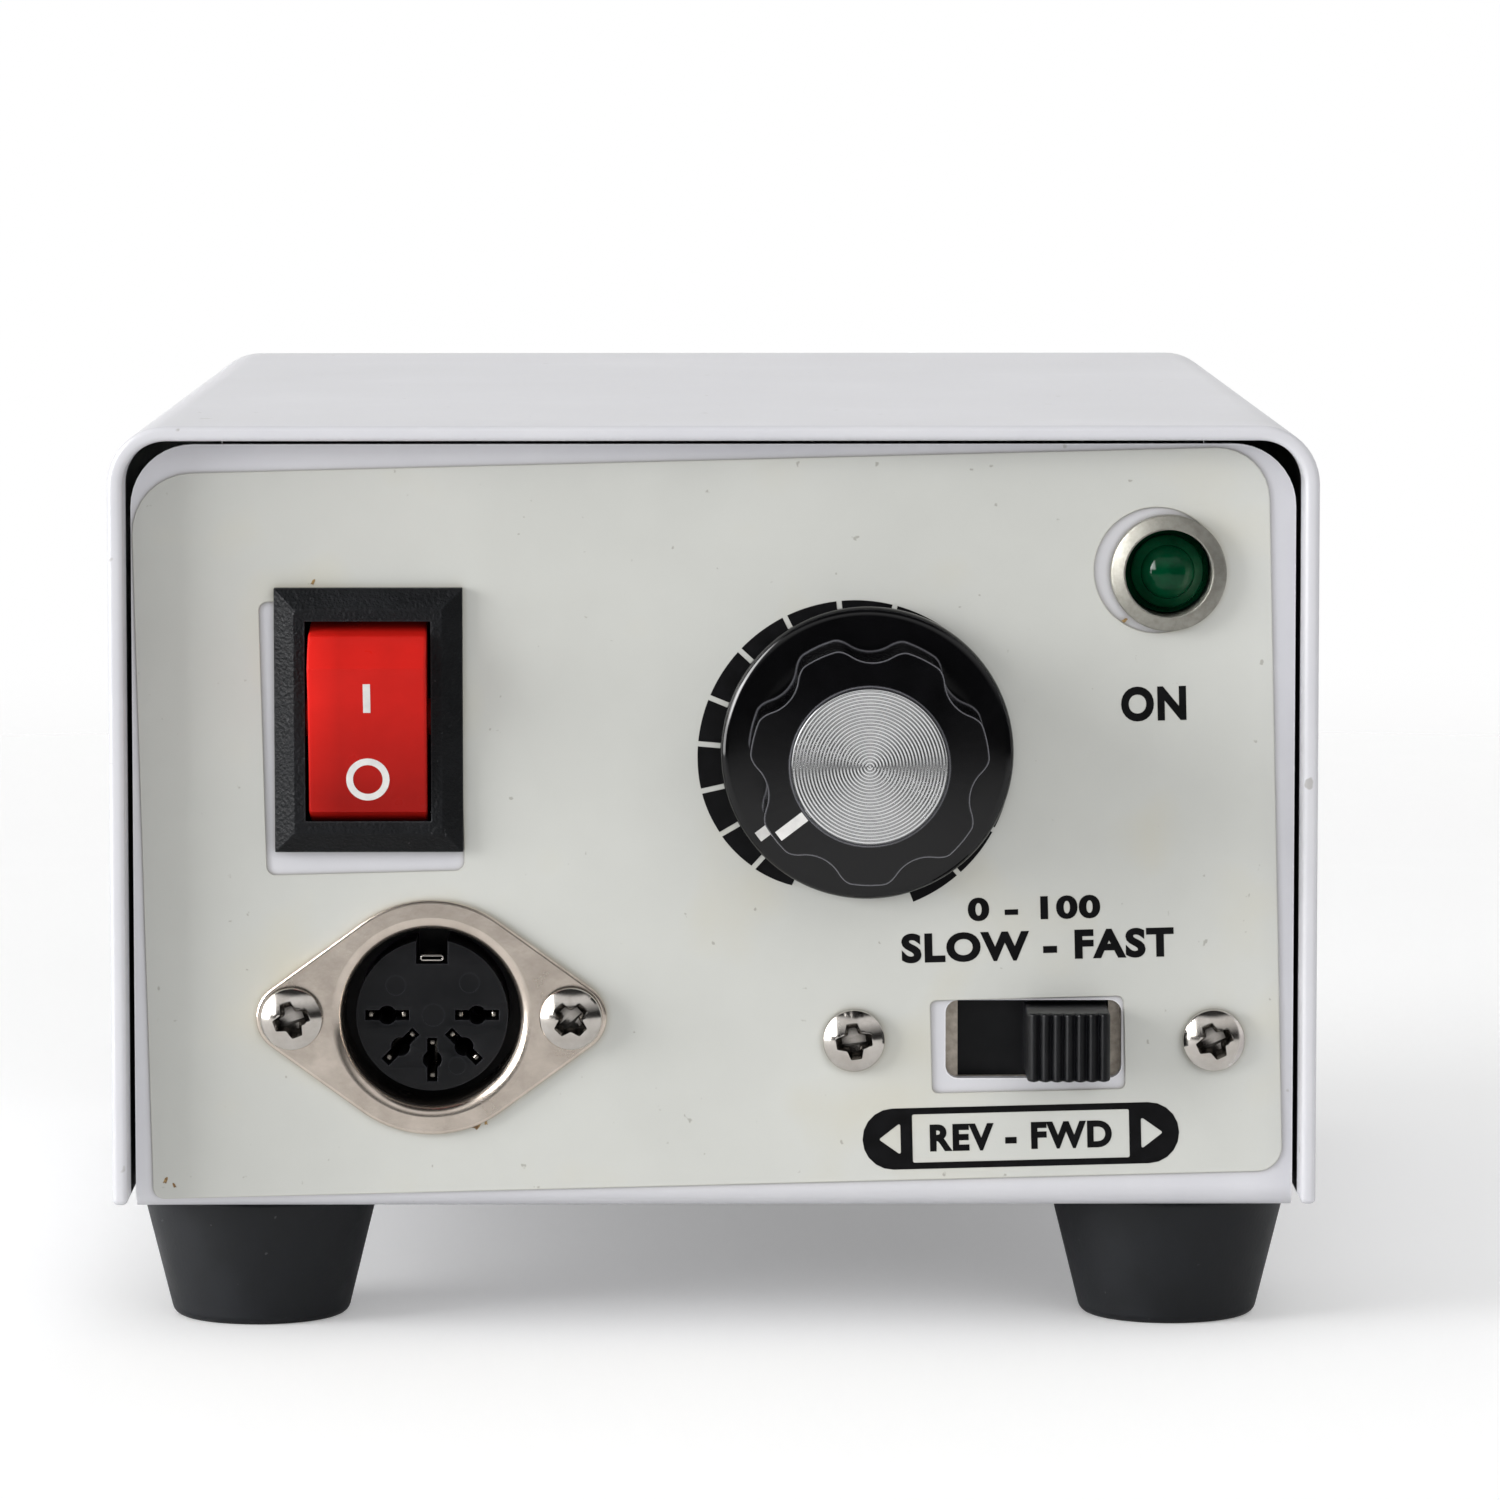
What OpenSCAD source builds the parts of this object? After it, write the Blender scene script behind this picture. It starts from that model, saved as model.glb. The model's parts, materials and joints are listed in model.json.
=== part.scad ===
// Control unit of a dental micromotor: a two-piece sheet-metal case on four rubber feet,
// with a power rocker, a speed knob, a pilot lamp, a round handpiece socket and a direction slide.
// Millimetres, +Z up, the controls face -Y and the floor is at Z = 0.

/* [Case] */
// Width over the cover
case_w = 96; // [94:0.5:120]
// Height of the case above its feet
case_h = 63; // [61:0.5:80]
// Depth of the cover
case_d = 130; // [128:1:170]
// Sheet thickness of the cover
cover_t = 1.2; // [0.8:0.1:1.6]
// Outside radius of the cover's two bends
cover_bend_r = 4.7; // [3:0.1:7]
// How far the cover's lower edges stop above the underside
cover_lift = 0.8; // [0.4:0.1:2]
// Sheet thickness of the chassis
chassis_t = 1.2; // [0.8:0.1:1.6]
// Outside radius of the chassis's two bends
chassis_bend_r = 1.8; // [1.7:0.1:3]
// How far the front and rear panels stand back inside the cover
panel_inset = 4; // [1:0.1:5]
// Gap between the chassis and each side of the cover
side_gap = 0.4; // [0.3:0.05:0.8]
// Gap between the panels and the top of the cover
top_gap = 0.3; // [0.3:0.05:0.8]
// How much rounder the panels' upper corners are than the inside of the cover
corner_ease = 1.5; // [0.8:0.1:3]
// Height of the lip at the back of the chassis that carries the rear panel
rear_lip_h = 6; // [5:0.1:6.4]
// Distance between the screws of the rear panel
rear_screw_pitch = 44; // [30:1:50]
// Height of the chassis's side flanges
flange_h = 14; // [12:0.5:18]
// How far the side flanges stop short of the panels
flange_relief = 8; // [4:0.5:12]
// Distance of the cover screws from the ends of the cover
cover_screw_inset = 24; // [20:0.5:30]
// Height of the cover screws above the underside
cover_screw_z = 7.7; // [6.5:0.1:9]

/* [Feet] */
// Height of a foot
foot_h = 10.5; // [8:0.5:16]
// Diameter of a foot where it meets the case
foot_top_d = 19.4; // [17:0.2:22]
// Diameter of a foot on the floor
foot_base_d = 14.2; // [12:0.2:17]
// Bevel round the lower edge of a foot
foot_bevel = 0.8; // [0.4:0.1:1.5]
// Distance of the feet from the sides of the case
foot_side_inset = 10.9; // [10:0.1:14]
// Distance of the feet from the faces of the panels
foot_inset = 12.5; // [11:0.5:16]
// Diameter of the screw recess in a foot
foot_recess_d = 8; // [7:0.1:9]
// Thickness of rubber under the screw head
foot_web = 4; // [3:0.1:5]

/* [Fasteners] */
// Diameter of the case screws
screw_d = 3; // [2.6:0.1:3.4]
// Head diameter of the case screws
screw_head_d = 5.6; // [5.2:0.1:6.2]
// Head height of the case screws
screw_head_h = 1.9; // [1.5:0.1:2.4]
// Width across flats of the case nuts
nut_w = 5.5; // [5.2:0.1:6.2]
// Height of the case nuts
nut_h = 2.4; // [1.8:0.1:2.8]
// Diameter of the small screws
small_d = 2.6; // [2.2:0.1:3]
// Head diameter of the small screws
small_head_d = 5; // [4.4:0.1:5.4]
// Head height of the small screws
small_head_h = 1.7; // [1.3:0.1:2.2]
// Width across flats of the small nuts
small_nut_w = 5; // [4.6:0.1:5.4]
// Height of the small nuts
small_nut_h = 2; // [1.6:0.1:2.4]
// Length of a screw past its nut or thread
screw_end = 1; // [0.6:0.1:1.6]

/* [Fits] */
// Clearance on radius round a fixed piece
fit_gap = 0.1; // [0.06:0.01:0.15]
// Running clearance on radius of a turning piece
run_gap = 0.05; // [0.02:0.01:0.08]
// Gap between pieces that move past one another
free_gap = 0.3; // [0.3:0.05:0.4]

/* [Front panel layout] */
// Rocker switch, in from the panel's left edge
rocker_in = 18.9; // [16:0.1:21]
// Rocker switch, above the underside
rocker_z = 39.4; // [38:0.2:44]
// Speed knob, in from the panel's right edge
knob_in = 34.2; // [32:0.2:38]
// Speed knob, above the underside
knob_z = 36.8; // [36:0.2:40]
// Handpiece socket, in from the panel's left edge
socket_in = 23.8; // [20:0.2:28]
// Handpiece socket, above the underside
socket_z = 15.5; // [13:0.1:17]
// Direction switch, in from the panel's right edge
slide_in = 20.8; // [19.4:0.2:24]
// Direction switch, above the underside
slide_z = 13.6; // [12:0.1:15]
// Pilot lamp, in from the panel's right edge
lamp_in = 10.2; // [8.4:0.1:12]
// Pilot lamp, down from the panel's upper edge
lamp_down = 10.4; // [9:0.1:13]

/* [Label film] */
// Thickness of the film
film_t = 0.25; // [0.15:0.01:0.4]
// Margin of panel at each side of the film
film_side = 1.1; // [1.1:0.1:3]
// Margin of panel above and below the film
film_end = 0.75; // [0.75:0.05:2]
// Corner radius of the film
film_r = 5; // [3:0.1:8]
// Tilt of the film on the panel
film_tilt = 1.4; // [0:0.1:1.5]
// Sideways offset of the film on the panel
film_dx = -0.4; // [-0.5:0.1:0.5]
// Upward offset of the film on the panel
film_dz = -0.7; // [-0.9:0.1:0]
// How much the film's windows clear what they frame
film_ease = 0.4; // [0.2:0.05:0.6]

/* [Rocker switch] */
// Width of the paddle
rocker_w = 9.4; // [8.6:0.1:10.4]
// Radius of the paddle's ends about its pivot
rocker_r = 8.5; // [8.2:0.1:9.2]
// Height of the paddle's face over its pivot
rocker_face = 6.05; // [5.6:0.05:6.4]
// Hollow of the paddle's face
rocker_dish = 0.45; // [0.2:0.05:0.7]
// Thickness of the paddle's walls
rocker_shell = 1.2; // [0.9:0.05:1.5]
// Tilt of the paddle when it is off
rocker_tilt = 13; // [9:0.5:14]
// Depth of the pivot behind the panel's face
rocker_pivot_depth = 2; // [1.8:0.1:2.6]
// Diameter of the paddle's pivots
trunnion_d = 3; // [2.4:0.1:3.4]
// Thickness of the bezel
rocker_bezel_t = 2; // [1.8:0.1:2.4]
// Width of the bezel's sloping border
rocker_bevel = 1.6; // [1:0.1:1.8]
// Thickness of the lip round the paddle
rocker_lip_t = 0.6; // [0.4:0.05:0.8]
// How far the bezel covers the panel round the cutout
rocker_land = 1.1; // [0.9:0.1:2]
// Gap at each side of the paddle
rocker_side_gap = 0.4; // [0.3:0.05:0.6]
// Thickness of the housing's side walls
rocker_wall = 1.3; // [1:0.05:1.6]
// Thickness of the housing's end walls
rocker_end_wall = 0.65; // [0.5:0.05:1]
// Thickness of the housing's floor
rocker_floor = 1.4; // [1:0.1:2]
// Depth of the housing behind the panel's face
rocker_depth = 13; // [12.5:0.1:15]
// Diameter of the plunger
plunger_d = 2.9; // [2.5:0.1:3.1]
// Reach of the plunger's tip from the pivot
plunger_reach = 6; // [5.7:0.1:6.2]
// Length of the plunger
plunger_l = 5; // [4.5:0.1:5.4]
// Depth of the plunger's bore above the pivot
plunger_bore = 2.4; // [2:0.1:2.8]
// Wire of the plunger's spring
plunger_wire = 0.4; // [0.3:0.05:0.5]
// Length of the contact blade
blade_l = 11.4; // [11:0.1:12.5]
// Width of the contact blade
blade_w = 4; // [3.5:0.1:4.5]
// Thickness of the contact blade
blade_t = 0.5; // [0.4:0.05:0.6]
// Turn of the contact blade to each side
blade_tilt = 9.1; // [6:0.1:9.8]
// Radius of the rib that the contact blade turns on
blade_rib_r = 0.5; // [0.45:0.05:0.6]
// Diameter of the contact rivets
rivet_d = 2.2; // [1.8:0.1:2.4]
// Height of the contact rivets
rivet_h = 0.6; // [0.4:0.05:0.7]
// Distance of the contact rivets from the middle of the blade
rivet_offset = 4.5; // [4.2:0.1:4.6]
// Width of the rocker's tabs
tab_w = 4.75; // [4:0.05:5.2]
// Thickness of the rocker's tabs
tab_t = 0.8; // [0.6:0.05:1]
// Length of the rocker's tabs behind the housing
tab_l = 8; // [6:0.5:9]

/* [Speed control] */
// Diameter of the knob's skirt
knob_skirt_d = 23.4; // [21.5:0.1:25]
// Height of the skirt's edge
knob_skirt_edge = 1.25; // [0.8:0.05:1.6]
// Height of the whole skirt
knob_skirt_h = 2.85; // [2.2:0.05:3.4]
// Diameter over the knob's lobes
knob_grip_d = 19.8; // [19:0.1:21]
// Number of flutes round the knob
knob_flutes = 7; // [5:1:9]
// Radius of a flute
knob_flute_r = 3.2; // [2.6:0.1:3.6]
// Depth of a flute
knob_flute_depth = 1.5; // [0.8:0.1:1.6]
// Height of the knob
knob_h = 12.25; // [12:0.05:14]
// Gap between the knob and the film
knob_gap = 0.5; // [0.3:0.05:1]
// Diameter of the knob's cap
knob_cap_d = 12.3; // [11:0.1:14]
// Thickness of the knob's cap
knob_cap_t = 0.6; // [0.4:0.05:0.8]
// How far the cap stands out of the knob
knob_cap_proud = 0.2; // [0.1:0.05:0.3]
// Wall of the knob's insert
knob_insert_wall = 1.5; // [1.2:0.1:1.8]
// Length of the knob's insert
knob_insert_l = 7; // [6:0.1:7]
// Flat on the shaft for the set screw
shaft_flat = 1; // [0.6:0.05:1.2]
// Diameter of the speed control's shaft
shaft_d = 6; // [5.4:0.1:6.4]
// Wall of the threaded bush
pot_bush_wall = 0.9; // [0.7:0.05:1]
// How far the bush stands out of its nut
pot_bush_proud = 0.9; // [0.4:0.1:1.2]
// Wall of the bush's nut at its flats
pot_nut_wall = 1.6; // [1.3:0.1:1.8]
// Height of the bush's nut
pot_nut_h = 2; // [1.6:0.1:2.2]
// Thickness of the bush's washer
pot_washer_t = 0.6; // [0.4:0.05:0.8]
// Diameter of the speed control's can
pot_can_d = 22; // [21:0.2:24]
// Length of the speed control's can
pot_can_l = 8; // [7.5:0.1:10]
// Sheet thickness of the can
pot_can_t = 0.5; // [0.4:0.05:0.7]
// Thickness of the speed control's front plate
pot_plate_t = 1; // [0.8:0.1:1.5]
// Thickness of the track wafer
pot_wafer_t = 1.6; // [1.2:0.1:2]
// Thickness of the rotor
pot_rotor_t = 2; // [1.6:0.1:2.4]
// Diameter of the rotor
pot_rotor_d = 15; // [13:0.2:16]
// Turn of the speed control from end to end
pot_travel = 300; // [270:5:300]
// Angle that the fixed stop takes up
pot_stop_angle = 44; // [30:1:44]
// Angle that the rotor's stop tab takes up
pot_tab_angle = 13; // [8:1:13]
// Turn of the knob from its low end
speed_setting = 22.5; // [0:0.5:270]
// Width of the speed control's terminals
pot_lug_w = 2; // [1.4:0.1:2.6]
// Thickness of the speed control's terminals
pot_lug_t = 0.4; // [0.3:0.05:0.5]
// Spacing of the speed control's terminals
pot_lug_pitch = 4.5; // [4:0.1:5]
// Reach of the speed control's terminals past the can
pot_lug_l = 4.5; // [3.5:0.1:5]

/* [Handpiece socket] */
// Diameter of the flange's middle
socket_flange_d = 18.9; // [18:0.1:21]
// Radius of the flange's ears
socket_ear_r = 2.9; // [2.7:0.1:3.2]
// Thickness of the flange
socket_flange_t = 0.8; // [0.6:0.05:1.2]
// Distance between the socket's screws
socket_pitch = 22.3; // [22:0.1:24]
// Bore of the socket's shell
socket_bore_d = 14.6; // [14:0.1:14.8]
// Wall of the socket's shell
socket_wall = 0.45; // [0.4:0.05:0.6]
// Width of the rim round the bore
socket_rim_w = 0.7; // [0.6:0.05:0.9]
// Height of the rim over the flange
socket_rim_h = 0.7; // [0.5:0.05:1]
// Depth of the socket behind the panel's face
socket_depth = 9; // [8:0.1:11]
// Diameter of the socket's core
socket_core_d = 12.2; // [11.8:0.1:12.6]
// How far the core stops below the flange's face
socket_core_low = 0.3; // [0:0.05:0.6]
// Thickness of the base behind the core
socket_collar = 2.5; // [2:0.1:3.5]
// Circle that the contact holes stand on
socket_ring_d = 7.5; // [7.3:0.05:7.7]
// Diameter of a contact hole
socket_hole_d = 1.5; // [1.4:0.05:1.7]
// Length of a contact slit
socket_slit_l = 3.5; // [3.2:0.05:3.6]
// Width of a contact slit
socket_slit_w = 0.8; // [0.7:0.05:0.9]
// Width of the key notch
socket_key_w = 2.5; // [2:0.1:3]
// Depth of the key notch from the core's edge
socket_key_h = 1.8; // [1.2:0.1:2]
// Width of a contact prong
prong_w = 0.5; // [0.4:0.05:0.55]
// Distance of the prongs below the core's face
prong_low = 1.6; // [1:0.1:2.5]
// Length of the contacts' tails
prong_tail = 4; // [3:0.1:5]
// Thickness of the bridge behind the core
prong_bridge = 0.8; // [0.6:0.05:1]

/* [Direction switch] */
// Travel of the actuator
slide_travel = 5.2; // [4.6:0.1:5.6]
// Width of the actuator
slide_knob_w = 6.6; // [6:0.1:7]
// Height of the actuator
slide_knob_h = 5.5; // [5:0.1:6]
// Reach of the actuator in front of the panel
slide_knob_reach = 5.8; // [4:0.1:7]
// Number of ribs on the actuator
slide_ribs = 7; // [5:1:9]
// Height of the ribs
slide_rib_h = 0.5; // [0.3:0.05:0.6]
// How much wider the panel's slot is than the frame's window, at each end
slide_slot_ease = 1; // [0.6:0.1:1.2]
// Gap above and below the actuator
slide_side_gap = 0.4; // [0.3:0.05:0.6]
// Height of the frame
slide_frame_h = 12.6; // [12:0.1:14]
// Sheet thickness of the frame
slide_frame_t = 0.8; // [0.6:0.05:1]
// Depth of the frame behind its front sheet
slide_depth = 7; // [6.5:0.1:8]
// Distance of the screws from the frame's box
slide_ear = 2; // [1.9:0.05:2.4]
// How far the ears reach past the screws
slide_ear_end = 3.2; // [2.6:0.1:3.4]
// Thickness of the sliding plate
slide_plate_t = 2.4; // [2:0.1:2.6]
// Height of the sliding plate
slide_plate_h = 8.6; // [8:0.1:9]
// Thickness of the terminal base
slide_base_t = 1.6; // [1.2:0.1:2]
// Spacing of the terminals along the switch
slide_pin_pitch = 5; // [4.6:0.1:5.2]
// Spacing of the two rows of terminals
slide_row_pitch = 5.2; // [5:0.1:5.6]
// Diameter of a terminal's head
slide_pin_d = 1.6; // [1.2:0.1:1.8]
// Height of a terminal's head
slide_pin_h = 0.5; // [0.4:0.05:0.6]
// Width of a terminal's tail
slide_tail_w = 1; // [0.8:0.1:1.2]
// Length of a terminal's tail
slide_tail_l = 4; // [3:0.1:5]
// Length of a sliding contact
slide_clip_l = 7; // [6.6:0.1:7.2]
// Width of a sliding contact
slide_clip_w = 2; // [1.6:0.1:2.4]

/* [Pilot lamp] */
// Diameter of the bezel
lamp_bezel_d = 9.25; // [9:0.05:11]
// Height of the bezel
lamp_bezel_h = 1.6; // [1.2:0.1:2.2]
// Height of the bezel's straight edge
lamp_edge_h = 0.5; // [0.3:0.05:0.8]
// Bore of the bezel
lamp_bore_d = 6.95; // [6.6:0.05:7.2]
// Wall of the barrel
lamp_wall = 0.5; // [0.4:0.05:0.6]
// Length of the barrel behind the panel's face
lamp_depth = 12; // [10:0.1:15]
// Width across flats of the lamp's nut
lamp_nut_w = 11; // [10.6:0.1:12]
// Height of the lamp's nut
lamp_nut_h = 2.2; // [1.8:0.1:2.8]
// Diameter of the lens's dome
lamp_dome_d = 5; // [4.4:0.1:5.6]
// How far the lens's shoulder stands behind the bezel's front
lamp_lens_low = 0.9; // [0.6:0.05:1.1]
// Length of the lens
lamp_lens_l = 6; // [5:0.1:7]
// Wall of the lens
lamp_lens_wall = 0.9; // [0.7:0.05:1]
// Diameter of the light source
lamp_bulb_d = 4.2; // [3.8:0.1:4.4]
// Diameter of the light source's leads
lamp_lead_d = 0.6; // [0.5:0.05:0.8]
// Length of the light source's leads past the barrel
lamp_lead_l = 4; // [3:0.1:6]

/* [Transformer] */
// Gap between the coil and the chassis's left flange
core_gap = 3.7; // [3.2:0.1:4.5]
// How far the transformer stands behind the middle
core_back = 9; // [8:0.5:9.5]
// Length of the laminations
core_w = 57; // [52:0.5:58]
// Thickness of the stack
core_stack = 26; // [22:0.5:27]
// How far the coil stands out of the stack
coil_out = 8.5; // [6:0.5:8.5]
// Wall of the bobbin
bobbin_wall = 1; // [0.8:0.1:1.4]
// Corner radius of the winding
coil_r = 3; // [2:0.1:4]
// Sheet thickness of the strap
strap_t = 0.8; // [0.6:0.1:1.2]
// Width of the strap
strap_w = 18; // [14:0.5:22]
// Length of the strap's feet
strap_foot = 10; // [8.5:0.1:10.5]

/* [Circuit board] */
// Gap between the board and the coil
board_gap = 3; // [2:0.1:5]
// Gap between the board and the chassis's right flange
board_edge = 3.2; // [2:0.1:5]
// How far the board stands behind the middle
board_back = 7; // [5:0.5:9]
// How much shorter the board is than half of the chassis
board_short = 1; // [0:0.5:3]
// Thickness of the board
board_t = 1.6; // [1:0.1:2]
// Height of the pillars
pillar_h = 6; // [5.6:0.1:8]
// Diameter of the pillars
pillar_d = 6; // [5:0.1:6.4]
// Distance of the pillars from the board's edges
pillar_inset = 4; // [3.4:0.1:4.4]
// Diameter of the capacitor
capacitor_d = 16; // [12:0.5:17]
// Height of the capacitor
capacitor_h = 25; // [20:0.5:27]
// Length of the heat sink
sink_l = 22; // [20:0.5:24]
// Height of the heat sink
sink_h = 22; // [18:0.5:25]
// Thickness of the heat sink's web and fins
sink_t = 2; // [1.5:0.1:2.4]
// Reach of the heat sink's fins
sink_fin = 8; // [6:0.5:9]
// Width of the transistor
transistor_w = 10; // [9:0.1:11]
// Height of the connector strip
strip_h = 9; // [7:0.5:11]
// Length of the bridge rectifier
bridge_l = 18; // [15:0.5:20]
// Diameter of a resistor
resistor_d = 3; // [2:0.1:3.4]

/* [Rear panel] */
// Cord bush, in from the left edge of the panel
cord_in = 16.4; // [14.5:0.1:22]
// Cord bush, above the underside
cord_z = 14; // [11:0.5:18]
// Bore of the cord bush
cord_bore_d = 6.6; // [5:0.1:7]
// Wall of the cord bush
cord_wall = 2.2; // [1.8:0.1:2.6]
// Height of the bush's flanges round the panel's hole
cord_lip = 2; // [1.4:0.1:2.4]
// Thickness of each flange of the bush
cord_flange_t = 2.4; // [1.8:0.1:3]
// Fuse holder, in from the right edge of the panel
fuse_in = 18.4; // [14.5:0.1:19.4]
// Fuse holder, above the underside
fuse_z = 44; // [43.5:0.5:48]
// Diameter of the fuse
fuse_d = 5.2; // [5:0.1:5.4]
// Length of the fuse
fuse_l = 20; // [18:0.5:20]
// Wall of the fuse cap's shank
fuse_shank_wall = 1.4; // [1:0.1:1.5]
// Length of the fuse cap's shank
fuse_shank_l = 6; // [5:0.1:8]
// Wall of the fuse holder
fuse_wall = 1.6; // [1.3:0.1:1.8]
// Length of the fuse holder behind the panel's face
fuse_depth = 23; // [22:0.5:25]
// How far the fuse holder's flange covers the panel
fuse_land = 2; // [1.5:0.1:3]
// Thickness of the fuse holder's flange
fuse_flange_t = 2; // [1.5:0.1:3]
// Height of the fuse cap's grip
fuse_grip_h = 8; // [6:0.1:10]
// Diameter of the fuse cap's grip
fuse_grip_d = 12.6; // [11.5:0.1:14]
// Height of the fuse holder's nut
fuse_nut_h = 3; // [2.4:0.1:4]
// Foot-control jack, in from the right edge of the panel
jack_in = 40.4; // [38:0.1:41]
// Foot-control jack, above the underside
jack_z = 24; // [20:0.5:26]
// Bore of the jack
jack_bore_d = 6.5; // [6.4:0.05:6.7]
// Wall of the jack's bush
jack_wall = 1.5; // [1.3:0.1:1.8]
// How far the jack's bush stands out of the panel
jack_proud = 3.2; // [2.8:0.1:4]
// Size of the jack's body
jack_body_w = 15; // [14:0.2:16]
// Depth of the jack's body
jack_body_l = 20; // [18:0.5:21]
// Height of the jack's nut
jack_nut_h = 2; // [1.6:0.1:2.4]
// Number of cooling slots
vent_count = 8; // [4:1:8]
// Width of a cooling slot
vent_w = 2; // [1.4:0.1:2.4]
// Height of a cooling slot
vent_h = 16; // [10:0.5:18]
// Spacing of the cooling slots
vent_pitch = 4; // [3.4:0.1:4.2]
// Middle of the cooling slots, in from the left edge of the panel
vent_in = 20.4; // [19.4:0.1:22.4]
// Middle of the cooling slots, above the underside
vent_z = 44; // [40:0.5:46]

/* [Hidden] */
$fn = 64;
panel_w = case_w - 2 * (cover_t + side_gap);
panel_h = case_h - cover_t - top_gap;
panel_corner_r = cover_bend_r - cover_t + corner_ease;
chassis_d = case_d - 2 * panel_inset;
cover_h = case_h - cover_lift;
flange_x = panel_w / 2 - chassis_t;
foot_spacing = case_w - 2 * foot_side_inset;

// Places across the panels
rocker_x = rocker_in - panel_w / 2;
knob_x = panel_w / 2 - knob_in;
socket_x = socket_in - panel_w / 2;
slide_x = panel_w / 2 - slide_in;
lamp_x = panel_w / 2 - lamp_in;
lamp_z = panel_h - lamp_down;
cord_x = cord_in - panel_w / 2;
fuse_x = panel_w / 2 - fuse_in;
jack_x = panel_w / 2 - jack_in;
vent_x = vent_in - panel_w / 2;

// Levels of the knob, outwards from the panel's face
knob_back = film_t + knob_gap;
knob_front = knob_back + knob_h;
knob_reach = knob_front + knob_cap_proud;
rear_reach = fuse_flange_t + fuse_grip_h;
panel_y = knob_reach - (knob_reach + chassis_d + rear_reach) / 2;
rear_y = panel_y + chassis_d;
mid_y = panel_y + chassis_d / 2;

screw_hole = screw_d + 2 * fit_gap;
small_hole = small_d + 2 * fit_gap;
thread_hole = screw_d + 2 * run_gap;
small_thread = small_d + 2 * run_gap;
wall_screw_l = cover_t + side_gap + chassis_t + screw_end;
rear_screw_l = 2 * chassis_t + screw_end;
rear_screw_z = (chassis_bend_r + rear_lip_h) / 2;

film_w = panel_w - 2 * film_side;
film_h = panel_h - chassis_bend_r - 2 * film_end;
film_z = (chassis_bend_r + panel_h) / 2;

rocker_front = film_t + rocker_bezel_t;
rocker_lip_level = rocker_front - rocker_lip_t + rocker_pivot_depth;
rocker_open_w = rocker_w + 2 * free_gap;
rocker_open_h = 2 * (sqrt(rocker_r * rocker_r - rocker_lip_level * rocker_lip_level) + free_gap);
rocker_half = rocker_open_h / 2 - fit_gap;
rocker_cave_w = rocker_w + 2 * rocker_side_gap;
rocker_cave_h = 2 * (rocker_r + free_gap);
rocker_body_w = rocker_cave_w + 2 * rocker_wall;
rocker_body_h = rocker_cave_h + 2 * rocker_end_wall;
rocker_bezel_w = rocker_body_w + 2 * rocker_land;
rocker_bezel_h = rocker_body_h + 2 * rocker_land;
rocker_skirt = trunnion_d / 2 - 0.3;
dish_half = sqrt(rocker_r * rocker_r - rocker_face * rocker_face);
dish_r = (dish_half * dish_half + rocker_dish * rocker_dish) / (2 * rocker_dish);
boss_d = plunger_d + 2 * run_gap + 2 * rocker_shell;
blade_axis = plunger_reach + 2 * fit_gap + blade_t;
fulcrum_top = blade_axis + blade_rib_r / 2;
contact_drop = (rivet_offset + rivet_d / 2) * sin(blade_tilt);
contact_top = blade_axis + contact_drop + (rivet_h - fit_gap) * cos(blade_tilt) + fit_gap;
floor_level = rocker_depth - rocker_floor - rocker_pivot_depth;
tab_end = rocker_depth + tab_l - rocker_pivot_depth;

knob_angle = 90 + pot_travel / 2 - speed_setting;
flute_step = 360 / knob_flutes;
set_angle = 1.5 * flute_step;
pot_bush_d = shaft_d + 2 * run_gap + 2 * pot_bush_wall;
pot_nut_w = pot_bush_d + 2 * pot_nut_wall;
pot_washer_d = pot_nut_w / cos(30);
pot_bush_top = film_t + pot_washer_t + pot_nut_h + pot_bush_proud;
knob_recess_d = pot_washer_d + 4 * free_gap;
knob_recess_top = pot_bush_top + free_gap;
knob_insert_d = shaft_d + 2 * run_gap + 2 * knob_insert_wall;
knob_insert_top = knob_recess_top + knob_insert_l;
set_level = knob_recess_top + knob_insert_l / 2;
set_start = shaft_d / 2 - shaft_flat + fit_gap;
set_end = knob_insert_d / 2 + fit_gap + 1;
pot_plate_back = chassis_t + pot_plate_t;
pot_wafer_back = pot_plate_back + pot_wafer_t;
pot_rotor_front = pot_wafer_back + free_gap;
pot_rotor_back = pot_rotor_front + pot_rotor_t;
pot_can_back = pot_plate_back + pot_can_l;
pot_shaft_back = pot_can_back - pot_can_t - free_gap;
pot_inner_r = pot_can_d / 2 - pot_can_t;
pot_tab_r = pot_inner_r - 2 * free_gap;
pot_tongue_w = 2 * pot_lug_pitch + 2 * pot_lug_w;
pot_tongue_end = pot_can_d / 2 + pot_lug_l / 2;

socket_tube_d = socket_bore_d + 2 * socket_wall;
socket_face = film_t + socket_flange_t;
socket_core_top = socket_face - socket_core_low;
socket_tangent = acos((socket_flange_d / 2 - socket_ear_r) / (socket_pitch / 2));
socket_pins = [0, -45, -90, -135, 180];
prong_offset = socket_slit_l / 2 - prong_w / 2 - fit_gap;

slide_window_w = slide_travel + slide_knob_w + free_gap;
slide_slot_w = slide_window_w + 2 * slide_slot_ease;
slide_slot_h = slide_knob_h + 2 * slide_side_gap;
slider_l = slide_window_w + slide_travel + free_gap;
slide_cave_l = slider_l + slide_travel + 2 * free_gap;
slide_box_l = slide_cave_l + 2 * slide_frame_t;
slide_pitch = slide_box_l + 2 * slide_ear - 2 * fit_gap;
slide_frame_w = slide_pitch + 2 * slide_ear_end;
slide_cave_h = slide_frame_h - 2 * slide_frame_t;
slide_front = chassis_t + slide_frame_t;
slide_back = slide_front + slide_depth;
slide_base_front = slide_back - slide_base_t;
slide_plate_front = slide_front + fit_gap;
slide_plate_back = slide_plate_front + slide_plate_t;
slide_clip_back = slide_base_front - slide_pin_h - free_gap;

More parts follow.
